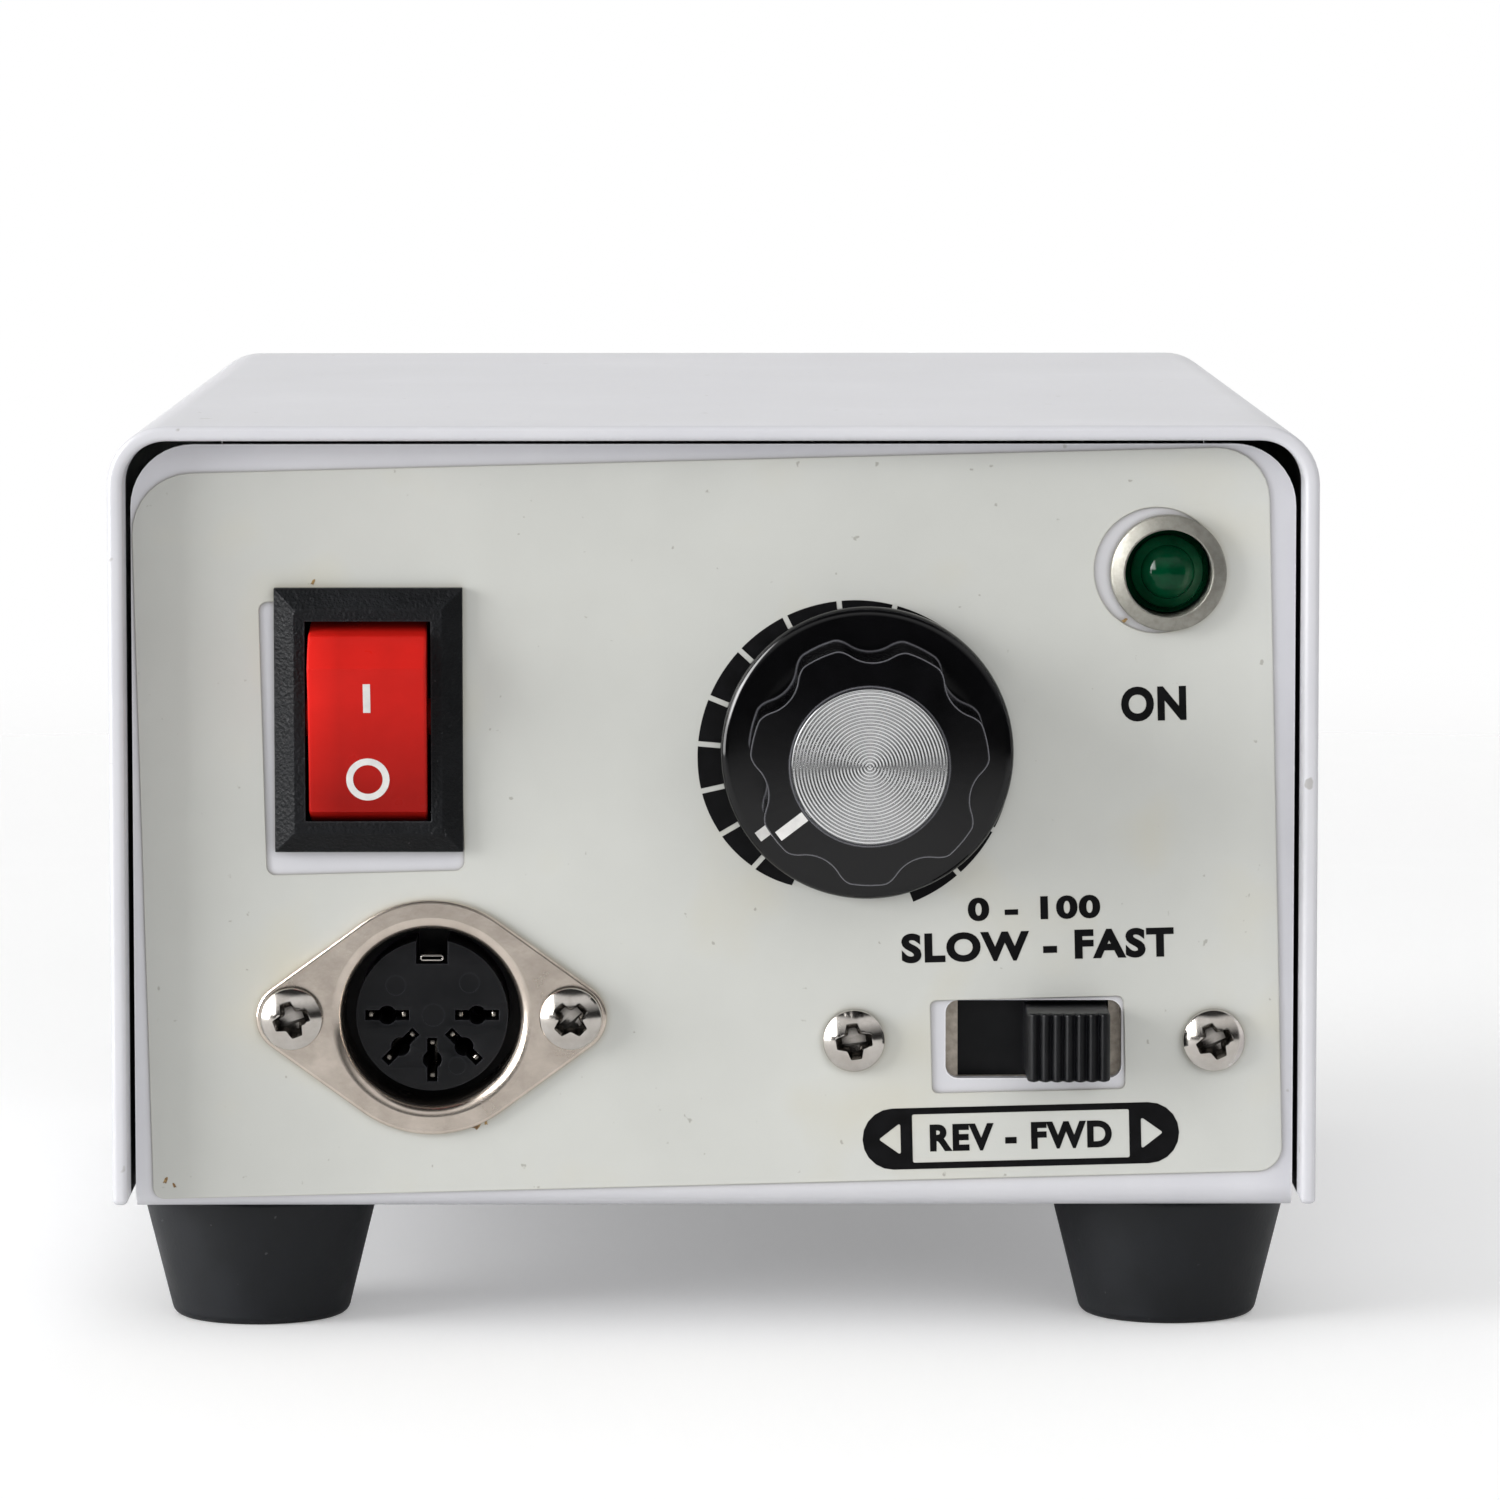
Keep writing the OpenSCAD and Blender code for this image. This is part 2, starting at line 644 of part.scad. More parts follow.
lamp_barrel_d = lamp_bore_d + 2 * lamp_wall;
lamp_front = film_t + lamp_bezel_h;
lamp_shoulder = lamp_front - lamp_lens_low;
lamp_lens_d = lamp_bore_d - 2 * fit_gap;
lamp_lens_back = lamp_lens_l - lamp_shoulder;

core_leg = core_w / 6;
core_h = 5 * core_leg;
bobbin_y = core_leg + fit_gap + bobbin_wall;
bobbin_x = core_stack / 2 + fit_gap + bobbin_wall;
bobbin_flange_y = 2 * core_leg - free_gap;
bobbin_flange_x = core_stack / 2 + coil_out;
bobbin_low = core_leg + fit_gap;
bobbin_high = core_h - core_leg - fit_gap;
coil_y = bobbin_flange_y - free_gap;
coil_x = bobbin_flange_x - 2 * free_gap;
strap_side = core_w / 2 + fit_gap + strap_t;
strap_bolt_y = strap_side + strap_foot / 2;
core_x = core_gap + bobbin_flange_x - flange_x;
core_y = chassis_d / 2 + core_back;

board_left = core_x + bobbin_flange_x + board_gap;
board_w = flange_x - board_edge - board_left;
board_x = board_left + board_w / 2;
board_y = chassis_d / 2 + board_back;
board_l = chassis_d / 2 - board_short;
board_top = pillar_h + board_t;
pillar_x = board_w / 2 - pillar_inset;
pillar_y = board_l / 2 - pillar_inset;
pillar_thread = (pillar_h - screw_end) / 2;
capacitor_y = -board_l / 2 + 2 * pillar_inset + capacitor_d / 2 + 1;
sink_y = board_l / 2 - 2 * pillar_inset - sink_fin - 6;

cord_tube_d = cord_bore_d + 2 * cord_wall;
cord_flange_d = cord_tube_d + 2 * cord_lip;
fuse_socket_d = fuse_d + 2 * fit_gap;
fuse_shank_d = fuse_socket_d + 2 * fuse_shank_wall;
fuse_bore_d = fuse_shank_d + 2 * free_gap;
fuse_tube_d = fuse_bore_d + 2 * fuse_wall;
fuse_flange_d = fuse_tube_d + 2 * fuse_land;
fuse_nut_w = fuse_tube_d + 2 * fuse_land;
fuse_front = fuse_flange_t + fuse_grip_h / 2 - 2;
jack_bush_d = jack_bore_d + 2 * jack_wall;
jack_nut_w = jack_bush_d + 2 * jack_wall;
jack_blind = jack_body_l - 2;

chassis();
rear_panel();
cover();
case_screws();
front_film();
foot_front_left();
foot_front_right();
foot_rear_left();
foot_rear_right();
foot_fasteners();
rocker_housing();
rocker_paddle();
rocker_plunger();
rocker_spring();
rocker_contact();
rocker_terminals();
knob();
knob_cap();
knob_insert();
knob_set_screw();
pot_shaft();
pot_rotor();
pot_bush();
pot_washer();
pot_nut();
pot_wafer();
pot_can();
socket_shell();
socket_core();
socket_base();
socket_contacts();
panel_screws();
slide_frame();
slide_actuator();
slide_contacts();
slide_base();
slide_terminals();
lamp_bezel();
lamp_lens();
lamp_nut();
lamp_bulb();
transformer_core();
transformer_bobbin();
transformer_winding();
transformer_strap();
transformer_bolts();
circuit_board();
board_pillars();
board_screws();
capacitor();
board_parts();
heat_sink();
transistor();
cord_bush();
fuse_holder();
fuse_nut();
fuse_cap();
fuse_link();
foot_jack();
jack_nut();

// Places children on the front panel: local X across, Y up and Z outwards from the face
module on_panel(x, z) {
    translate([x, panel_y, foot_h + z]) rotate([90, 0, 0]) children();
}

// Places children on the rear panel: local X to the right seen from behind, Y up and Z outwards
module on_rear(x, z) {
    translate([x, rear_y, foot_h + z]) rotate([90, 0, 180]) children();
}

// Places children on the floor of the chassis: y is counted back from the front panel's face
module on_base(x, y) {
    translate([x, panel_y + y, foot_h + chassis_t]) children();
}

// Extrudes a side view drawn in Y and Z across the width l
module across(l) {
    rotate([90, 0, 90]) linear_extrude(height = l, center = true) children();
}

module rounded_rect(w, h, r) {
    square([w - 2 * r, h], center = true);
    square([w, h - 2 * r], center = true);
    for (sx = [-1, 1], sy = [-1, 1])
        translate([sx * (w / 2 - r), sy * (h / 2 - r)]) circle(r);
}

module hexagon(w) {
    circle(d = w / cos(30), $fn = 6);
}

module ring(d_out, d_in, h) {
    linear_extrude(height = h) difference() {
        circle(d = d_out);
        circle(d = d_in);
    }
}

module hex_ring(w, d_in, h) {
    linear_extrude(height = h) difference() {
        hexagon(w);
        circle(d = d_in);
    }
}

// Slice of a ring between two radii, a degrees wide about the local X axis
module ring_slice(r_in, r_out, a) {
    intersection() {
        difference() {
            circle(r_out);
            circle(r_in);
        }
        polygon([[0, 0], [2 * r_out, -2 * r_out * tan(a / 2)], [2 * r_out, 2 * r_out * tan(a / 2)]]);
    }
}

// Screw along Z with its seat at Z = 0, its head above and its shank l long below
module pan_screw(d, head_d, head_h, l) {
    rise = head_h / 2;
    dome_r = (head_d * head_d / 4 + rise * rise) / (2 * rise);
    difference() {
        rotate_extrude() intersection() {
            square([head_d / 2, head_h]);
            translate([0, head_h - dome_r]) circle(dome_r);
        }
        for (a = [0, 90])
            rotate(a) translate([-head_d / 4, -head_d / 14, head_h / 3])
                cube([head_d / 2, head_d / 7, head_h]);
    }
    translate([0, 0, -l]) cylinder(d = d, h = l);
}

module case_screw(l) {
    pan_screw(screw_d, screw_head_d, screw_head_h, l);
}

module small_screw(l) {
    pan_screw(small_d, small_head_d, small_head_h, l);
}

module foot_places() {
    for (sx = [-1, 1], y = [foot_inset, chassis_d - foot_inset])
        translate([sx * foot_spacing / 2, panel_y + y, 0]) children();
}

module cover_screw_places() {
    for (sx = [-1, 1], sy = [-1, 1])
        translate([sx * case_w / 2, mid_y + sy * (case_d / 2 - cover_screw_inset), foot_h + cover_screw_z])
            rotate([0, sx * 90, 0]) children();
}

module rear_screw_places() {
    on_rear(0, rear_screw_z) for (s = [-1, 1]) translate([s * rear_screw_pitch / 2, 0, 0]) children();
}

module socket_screw_places() {
    on_panel(socket_x, socket_z) for (s = [-1, 1]) translate([s * socket_pitch / 2, 0, 0]) children();
}

module slide_screw_places() {
    on_panel(slide_x, slide_z) for (s = [-1, 1]) translate([s * slide_pitch / 2, 0, 0]) children();
}

module strap_bolt_places() {
    on_base(core_x, core_y) for (s = [-1, 1]) translate([0, s * strap_bolt_y, 0]) children();
}

module pillar_places() {
    on_base(board_x, board_y) for (sx = [-1, 1], sy = [-1, 1])
        translate([sx * pillar_x, sy * pillar_y, 0]) children();
}

// Cuts the children's outline through a panel from a local frame on its face
module through_panel() {
    translate([0, 0, -chassis_t - 1]) linear_extrude(height = chassis_t + 2) children();
}

module u_sheet(d, h, t, r) {
    difference() {
        translate([0, h]) rounded_rect(d, 2 * h, r);
        translate([0, h + t]) rounded_rect(d - 2 * t, 2 * h, r - t);
        translate([-d, h]) square([2 * d, 2 * h]);
    }
}

module panel_outline() {
    intersection() {
        rounded_rect(panel_w, 2 * panel_h, panel_corner_r);
        translate([-panel_w / 2, 0]) square([panel_w, panel_h]);
    }
}

// Base, front panel, side flanges and rear lip, bent from one sheet
module chassis() {
    difference() {
        union() {
            intersection() {
                translate([0, mid_y - chassis_t / 2, foot_h]) across(panel_w) difference() {
                    u_sheet(chassis_d - chassis_t, panel_h, chassis_t, chassis_bend_r);
                    translate([0, rear_lip_h]) square([chassis_d, panel_h]);
                }
                translate([0, mid_y, foot_h]) rotate([90, 0, 0])
                    linear_extrude(height = chassis_d + 2, center = true) panel_outline();
            }
            for (s = [-1, 1])
                translate([s * (panel_w - chassis_t) / 2, mid_y, foot_h + flange_h / 2])
                    cube([chassis_t, chassis_d - 2 * flange_relief, flange_h], center = true);
        }
        on_panel(rocker_x, rocker_z) through_panel()
            square([rocker_body_w + 2 * fit_gap, rocker_body_h + 2 * fit_gap], center = true);
        on_panel(knob_x, knob_z) through_panel() circle(d = pot_bush_d + 2 * fit_gap);
        on_panel(socket_x, socket_z) through_panel() circle(d = socket_tube_d + 2 * fit_gap);
        socket_screw_places() through_panel() circle(d = small_hole);
        on_panel(slide_x, slide_z) through_panel() rounded_rect(slide_slot_w, slide_slot_h, 1);
        slide_screw_places() through_panel() circle(d = small_hole);
        on_panel(lamp_x, lamp_z) through_panel() circle(d = lamp_barrel_d + 2 * fit_gap);
        rear_screw_places() translate([0, 0, -rear_screw_l]) cylinder(d = thread_hole, h = rear_screw_l);
        foot_places() translate([0, 0, foot_h - 1]) cylinder(d = screw_hole, h = chassis_t + 2);
        strap_bolt_places() through_panel() circle(d = screw_hole);
        pillar_places() through_panel() circle(d = small_hole);
        cover_screw_places() translate([0, 0, -wall_screw_l - 1])
            cylinder(d = thread_hole, h = wall_screw_l + 1);
    }
}

module rear_panel() {
    difference() {
        on_rear(0, 0) translate([0, 0, -chassis_t]) linear_extrude(height = chassis_t) panel_outline();
        on_rear(cord_x, cord_z) through_panel() circle(d = cord_tube_d + 2 * fit_gap);
        on_rear(fuse_x, fuse_z) through_panel() circle(d = fuse_tube_d + 2 * fit_gap);
        on_rear(jack_x, jack_z) through_panel() circle(d = jack_bush_d + 2 * fit_gap);
        for (k = [0:vent_count - 1])
            on_rear(vent_x + (k - (vent_count - 1) / 2) * vent_pitch, vent_z) through_panel()
                rounded_rect(vent_w, vent_h, 0.49 * vent_w);
        rear_screw_places() through_panel() circle(d = screw_hole);
    }
}

module cover() {
    difference() {
        translate([0, mid_y, foot_h + cover_lift]) rotate([90, 0, 0])
            linear_extrude(height = case_d, center = true) difference() {
                rounded_rect(case_w, 2 * cover_h, cover_bend_r);
                rounded_rect(case_w - 2 * cover_t, 2 * (cover_h - cover_t), cover_bend_r - cover_t);
                translate([-case_w, -2 * cover_h]) square([2 * case_w, 2 * cover_h]);
            }
        cover_screw_places() translate([0, 0, -cover_t - side_gap / 2])
            cylinder(d = screw_hole, h = cover_t + side_gap + 1);
    }
}

module case_screws() {
    cover_screw_places() case_screw(wall_screw_l);
    rear_screw_places() case_screw(rear_screw_l);
}

module front_film() {
    on_panel(0, film_z) linear_extrude(height = film_t) difference() {
        translate([film_dx, film_dz]) rotate(film_tilt) difference() {
            rounded_rect(film_w, film_h, film_r);
            translate([rocker_x, rocker_z - film_z])
                square([rocker_bezel_w + 2 * film_ease, rocker_bezel_h + 2 * film_ease], center = true);
            translate([slide_x, slide_z - film_z])
                square([slide_slot_w + 2 * film_ease, slide_slot_h + 2 * film_ease], center = true);
            translate([lamp_x, lamp_z - film_z]) circle(d = lamp_bezel_d + 2 * film_ease);
        }
        translate([rocker_x, rocker_z - film_z])
            square([rocker_body_w + 2 * fit_gap, rocker_body_h + 2 * fit_gap], center = true);
        translate([slide_x, slide_z - film_z]) square([slide_slot_w, slide_slot_h], center = true);
        translate([lamp_x, lamp_z - film_z]) circle(d = lamp_barrel_d + 2 * fit_gap);
        translate([knob_x, knob_z - film_z]) circle(d = pot_bush_d + 2 * fit_gap);
        translate([socket_x, socket_z - film_z]) circle(d = socket_tube_d + 2 * fit_gap);
        for (s = [-1, 1]) {
            translate([socket_x + s * socket_pitch / 2, socket_z - film_z]) circle(d = small_hole);
            translate([slide_x + s * slide_pitch / 2, slide_z - film_z]) circle(d = small_hole);
        }
    }
}

module foot(sx, y) {
    translate([sx * foot_spacing / 2, panel_y + y, 0]) difference() {
        rotate_extrude() polygon([
            [0, 0], [foot_base_d / 2 - foot_bevel, 0], [foot_base_d / 2, foot_bevel],
            [foot_top_d / 2, foot_h], [0, foot_h]
        ]);
        translate([0, 0, -1]) cylinder(d = foot_recess_d, h = foot_h - foot_web + 1);
        cylinder(d = screw_hole, h = foot_h + 1);
    }
}

module foot_front_left() {
    foot(-1, foot_inset);
}

module foot_front_right() {
    foot(1, foot_inset);
}

module foot_rear_left() {
    foot(-1, chassis_d - foot_inset);
}

module foot_rear_right() {
    foot(1, chassis_d - foot_inset);
}

module foot_fasteners() {
    foot_places() {
        translate([0, 0, foot_h - foot_web]) rotate([180, 0, 0])
            case_screw(foot_web + chassis_t + nut_h + screw_end);
        translate([0, 0, foot_h + chassis_t]) hex_ring(nut_w, thread_hole, nut_h);
    }
}

// Local frame on the rocker's pivot
module at_rocker() {
    on_panel(rocker_x, rocker_z) translate([0, 0, -rocker_pivot_depth]) children();
}

module rocker_housing() {
    on_panel(rocker_x, rocker_z) difference() {
        union() {
            intersection() {
                translate([0, 0, film_t]) linear_extrude(height = rocker_bezel_t)
                    square([rocker_bezel_w, rocker_bezel_h], center = true);
                for_bevel(rocker_bezel_w, rocker_bezel_h, rocker_bevel, film_t, rocker_bezel_t);
            }
            translate([0, 0, -rocker_depth]) linear_extrude(height = rocker_depth + rocker_front / 2)
                square([rocker_body_w, rocker_body_h], center = true);
        }
        translate([0, 0, rocker_floor - rocker_depth])
            linear_extrude(height = rocker_depth - rocker_floor + rocker_front - rocker_lip_t)
                square([rocker_cave_w, rocker_cave_h], center = true);
        linear_extrude(height = rocker_front + 1)
            square([rocker_open_w, rocker_open_h], center = true);
        translate([0, 0, -rocker_pivot_depth]) rotate([0, 90, 0])
            cylinder(d = trunnion_d + 2 * run_gap, h = rocker_body_w + 1, center = true);
        for (w = [0, -rivet_offset])
            translate([0, w, -rocker_depth - 1]) linear_extrude(height = rocker_floor + 2)
                square([tab_w + 2 * fit_gap, tab_t + 2 * fit_gap], center = true);
    }
}

// Slab with a low border sloping up to its face on all four sides
module for_bevel(w, h, b, low, t) {
    rise = t * 0.55;
    intersection() {
        translate([0, 0, low]) across(w + 2) polygon([
            [-h / 2, 0], [h / 2, 0], [h / 2, t - rise], [h / 2 - b, t], [b - h / 2, t], [-h / 2, t - rise]
        ]);
        translate([0, 0, low]) rotate([90, 0, 0]) linear_extrude(height = h + 2, center = true) polygon([
            [-w / 2, 0], [w / 2, 0], [w / 2, t - rise], [w / 2 - b, t], [b - w / 2, t], [-w / 2, t - rise]
        ]);
    }
}

module rocker_paddle() {
    at_rocker() rotate([rocker_tilt, 0, 0]) difference() {
        union() {
            difference() {
                across(rocker_w) intersection() {
                    circle(rocker_r);
                    translate([-rocker_half, -rocker_skirt])
                        square([2 * rocker_half, rocker_skirt + rocker_face]);
                }
                across(rocker_w + 2) translate([0, rocker_face - rocker_dish + dish_r]) circle(dish_r, $fn = 200);
                across(rocker_w - 2 * rocker_shell) intersection() {
                    circle(rocker_r - rocker_shell);
                    translate([rocker_shell - rocker_half, -rocker_skirt - 1])
                        square([
                            2 * (rocker_half - rocker_shell),
                            rocker_skirt + 1 + rocker_face - rocker_dish - rocker_shell
                        ]);
                }
            }
            translate([0, 0, -rocker_skirt - 1]) cylinder(
                d = boss_d,
                h = rocker_skirt + 1 + rocker_face - rocker_dish - rocker_shell / 2
            );
            rotate([0, 90, 0]) cylinder(d = trunnion_d, h = rocker_body_w - 2 * fit_gap, center = true);
        }
        translate([0, 0, -rocker_skirt - 2])
            cylinder(d = plunger_d + 2 * run_gap, h = rocker_skirt + 2 + plunger_bore);
    }
}

module rocker_plunger() {
    at_rocker() rotate([rocker_tilt, 0, 0]) {
        translate([0, 0, plunger_d / 2 - plunger_reach]) {
            sphere(d = plunger_d);
            cylinder(d = plunger_d, h = plunger_l - plunger_d / 2);
        }
    }
}

// Coil of round wire, turns wound from Z = 0 up to Z = h
module coil(r, wire, h, turns, steps, sides) {
    n = turns * steps;
    pts = [for (i = [0:n], k = [0:sides - 1])
        let (a = 360 * i / steps, b = 360 * k / sides, q = r + wire / 2 * cos(b))
            [q * cos(a), q * sin(a), wire / 2 * (1 + sin(b)) + (h - wire) * i / n]];
    walls = [for (i = [0:n - 1], k = [0:sides - 1])
        let (a = i * sides + k, b = i * sides + (k + 1) % sides)
            each [[a, a + sides, b + sides], [a, b + sides, b]]];
    ends = [[for (k = [0:sides - 1]) k], [for (k = [sides - 1:-1:0]) n * sides + k]];
    polyhedron(points = pts, faces = concat(walls, ends), convexity = 8);
}

module rocker_spring() {
    low = plunger_l - plunger_reach;
    at_rocker() rotate([rocker_tilt, 0, 0])
        translate([0, 0, low]) rotate(30)
            coil(plunger_d / 2 - plunger_wire / 2 - fit_gap, plunger_wire, plunger_bore - low, 4, 10, 6);
}

// Contact blade level, with the axis that it turns on at the origin
module rocker_contact() {
    at_rocker() translate([0, 0, -blade_axis]) rotate([-blade_tilt, 0, 0]) {
        translate([0, 0, fit_gap + blade_t / 2]) cube([blade_w, blade_l, blade_t], center = true);
        rotate([0, 90, 0]) cylinder(r = blade_rib_r, h = blade_w, center = true);
        translate([0, -rivet_offset, fit_gap - rivet_h]) cylinder(d = rivet_d, h = rivet_h);
    }
}

module rocker_terminals() {
    at_rocker() {
        difference() {
            translate([-blade_w / 2, -1.25 * blade_rib_r - tab_t / 2, -floor_level])
                cube([blade_w, 2.5 * blade_rib_r + tab_t, floor_level - fulcrum_top]);
            translate([0, 0, -blade_axis]) rotate([0, 90, 0])
                cylinder(r = blade_rib_r + run_gap, h = blade_w + 1, center = true);
        }
        translate([-blade_w / 2, -rivet_offset - rivet_d / 2, -floor_level])
            cube([blade_w, rivet_d, floor_level - contact_top - rivet_h]);
        translate([0, -rivet_offset, -contact_top - rivet_h]) cylinder(d = rivet_d, h = rivet_h);
        for (w = [0, -rivet_offset])
            translate([-tab_w / 2, w - tab_t / 2, -tab_end]) cube([tab_w, tab_t, tab_end - floor_level]);
    }
}

// Local frame on the knob, with X along its pointer
module at_knob() {
    on_panel(knob_x, knob_z) rotate(knob_angle) children();
}

module knob() {
    at_knob() difference() {
        union() {
            translate([0, 0, knob_back]) rotate_extrude() polygon([
                [0, 0], [knob_skirt_d / 2, 0], [knob_skirt_d / 2, knob_skirt_edge],
                [knob_grip_d / 2, knob_skirt_h], [0, knob_skirt_h]
            ]);
            translate([0, 0, knob_back + knob_skirt_edge])
                linear_extrude(height = knob_h - knob_skirt_edge) difference() {
                    circle(d = knob_grip_d);
                    for (k = [0:knob_flutes - 1])
                        rotate((k + 0.5) * flute_step)
                            translate([knob_grip_d / 2 - knob_flute_depth + knob_flute_r, 0])
                                circle(knob_flute_r);
                }
        }
        cylinder(d = knob_recess_d, h = knob_recess_top);
        cylinder(d = knob_insert_d + 2 * fit_gap, h = knob_insert_top);
        translate([0, 0, knob_reach - knob_cap_t]) cylinder(d = knob_cap_d + 2 * fit_gap, h = knob_cap_t + 1);
        rotate(set_angle) translate([0, 0, set_level]) rotate([0, 90, 0])
            cylinder(d = screw_hole, h = knob_grip_d);
    }
}

module knob_cap() {
    at_knob() translate([0, 0, knob_reach - knob_cap_t])
        cylinder(d = knob_cap_d, h = knob_cap_t);
}

module knob_insert() {
    at_knob() difference() {
        translate([0, 0, knob_recess_top]) ring(knob_insert_d, shaft_d + 2 * run_gap, knob_insert_l);
        rotate(set_angle) translate([0, 0, set_level]) rotate([0, 90, 0])
            cylinder(d = thread_hole, h = knob_insert_d);
    }
}

module knob_set_screw() {
    at_knob() rotate(set_angle) translate([set_start, 0, set_level]) rotate([0, 90, 0])
        difference() {
            cylinder(d = screw_d, h = set_end - set_start);
            translate([0, 0, (set_end - set_start) / 2]) linear_extrude(height = set_end)
                hexagon(screw_d / 2);
        }
}

module pot_shaft() {
    at_knob() difference() {
        translate([0, 0, -pot_shaft_back])
            cylinder(d = shaft_d, h = pot_shaft_back + knob_insert_top - 2 * fit_gap);
        rotate(set_angle) translate([shaft_d / 2 - shaft_flat, -shaft_d, knob_recess_top])
            cube([shaft_d, 2 * shaft_d, knob_insert_l]);
    }
}

module pot_rotor() {
    at_knob() translate([0, 0, -pot_rotor_back])
        linear_extrude(height = pot_rotor_t) difference() {
            union() {
                circle(d = pot_rotor_d);
                ring_slice(shaft_d / 2 + 1, pot_tab_r, pot_tab_angle);
            }
            circle(d = shaft_d + 2 * run_gap);
        }
}

module pot_bush() {
    on_panel(knob_x, knob_z) {
        difference() {
            union() {
                translate([0, 0, -pot_plate_back]) cylinder(d = pot_can_d, h = pot_plate_t);
                translate([0, 0, -chassis_t - pot_plate_t / 2])
                    cylinder(d = pot_bush_d, h = chassis_t + pot_plate_t / 2 + pot_bush_top);
            }
            translate([0, 0, -pot_plate_back - 1])
                cylinder(d = shaft_d + 2 * run_gap, h = pot_plate_back + pot_bush_top + 2);
        }
    }
}

module pot_washer() {
    on_panel(knob_x, knob_z) translate([0, 0, film_t])
        ring(pot_washer_d, pot_bush_d + 2 * fit_gap, pot_washer_t);
}

module pot_nut() {
    on_panel(knob_x, knob_z) translate([0, 0, film_t + pot_washer_t])
        hex_ring(pot_nut_w, pot_bush_d + 2 * run_gap, pot_nut_h);
}

module pot_wafer() {
    on_panel(knob_x, knob_z) {
        translate([0, 0, -pot_wafer_back]) linear_extrude(height = pot_wafer_t) difference() {
            union() {
                circle(r = pot_inner_r - fit_gap);
                translate([-pot_tongue_w / 2, -pot_tongue_end]) square([pot_tongue_w, pot_tongue_end - shaft_d]);
            }
            circle(d = shaft_d + 2 * free_gap);
        }
        for (k = [-1, 0, 1])
            translate([
                k * pot_lug_pitch - pot_lug_w / 2,
                -pot_can_d / 2 - pot_lug_l,
                -pot_wafer_back - pot_lug_t
            ])
                cube([pot_lug_w, pot_lug_l - fit_gap, pot_lug_t]);
    }
}

module pot_can() {
    on_panel(knob_x, knob_z) difference() {
        union() {
            translate([0, 0, -pot_can_back]) difference() {
                cylinder(d = pot_can_d, h = pot_can_l);
                translate([0, 0, pot_can_t]) cylinder(r = pot_inner_r, h = pot_can_l);
            }
            rotate(-90) translate([0, 0, -pot_can_back]) linear_extrude(
                height = pot_can_back - pot_rotor_front - free_gap
            )
                ring_slice(pot_rotor_d / 2 + free_gap, pot_inner_r + pot_can_t / 2, pot_stop_angle);
        }
        translate([-pot_tongue_w / 2 - fit_gap, -pot_can_d, -pot_wafer_back - fit_gap])
            cube([pot_tongue_w + 2 * fit_gap, pot_can_d - shaft_d, pot_wafer_t + 1]);
    }
}

module socket_flange() {
    reach = socket_pitch / 2;
    big = socket_flange_d / 2;
    circle(big);
    for (s = [0, 180]) rotate(s) {
        translate([reach, 0]) circle(socket_ear_r);
        polygon([
            [big * cos(socket_tangent), big * sin(socket_tangent)],
            [0, 0],
            [big * cos(socket_tangent), -big * sin(socket_tangent)],
            [reach + socket_ear_r * cos(socket_tangent), -socket_ear_r * sin(socket_tangent)],
            [reach, 0],
            [reach + socket_ear_r * cos(socket_tangent), socket_ear_r * sin(socket_tangent)]
        ]);
    }
}

module socket_shell() {
    difference() {
        on_panel(socket_x, socket_z) union() {
            translate([0, 0, film_t]) linear_extrude(height = socket_flange_t) socket_flange();
            translate([0, 0, socket_face]) rotate_extrude()
                translate([socket_bore_d / 2, -socket_flange_t / 2])
                    square([socket_rim_w, socket_flange_t / 2 + socket_rim_h]);
            translate([0, 0, -socket_depth])
                cylinder(d = socket_tube_d, h = socket_depth + socket_face - socket_flange_t / 2);
        }
        on_panel(socket_x, socket_z) translate([0, 0, -socket_depth - 1])
            cylinder(d = socket_bore_d, h = socket_depth + socket_face + socket_rim_h + 2);
        socket_screw_places() cylinder(d = small_hole, h = socket_face + 1);
    }
}

// Holes and slits for the contacts, along the whole socket
module socket_slits() {
    for (a = socket_pins) rotate(a) translate([socket_ring_d / 2, 0, -socket_depth - 1]) {
        cylinder(d = socket_hole_d, h = socket_depth + socket_core_top + 2);
        translate([-socket_slit_l / 2, -socket_slit_w / 2, 0])
            cube([socket_slit_l, socket_slit_w, socket_depth + socket_core_top + 2]);
    }
}

module socket_core() {
    low = socket_collar - socket_depth;
    on_panel(socket_x, socket_z) difference() {
        translate([0, 0, low]) cylinder(d = socket_core_d, h = socket_core_top - low);
        socket_slits();
        translate([-socket_key_w / 2, socket_core_d / 2 - socket_key_h, low - 1])
            cube([socket_key_w, socket_key_h + 1, socket_core_top - low + 2]);
    }
}

module socket_base() {
    on_panel(socket_x, socket_z) difference() {
        translate([0, 0, -socket_depth]) cylinder(d = socket_bore_d - 2 * fit_gap, h = socket_collar);
        socket_slits();
    }
}

module socket_contacts() {
    prong_t = socket_slit_w - 2 * fit_gap;
    prong_h = socket_depth + socket_core_top - prong_low;
    on_panel(socket_x, socket_z)
        for (a = socket_pins) rotate(a) translate([socket_ring_d / 2, 0, -socket_depth]) {
            for (s = [-1, 1])
                translate([s * prong_offset - prong_w / 2, -prong_t / 2, -prong_bridge / 2])
                    cube([prong_w, prong_t, prong_h + prong_bridge / 2]);
            translate([-prong_offset - prong_w / 2, -prong_t / 2, -prong_bridge])
                cube([2 * prong_offset + prong_w, prong_t, prong_bridge]);
            translate([-prong_w, -prong_t / 2, -prong_tail])
                cube([2 * prong_w, prong_t, prong_tail - prong_bridge / 2]);
        }
}

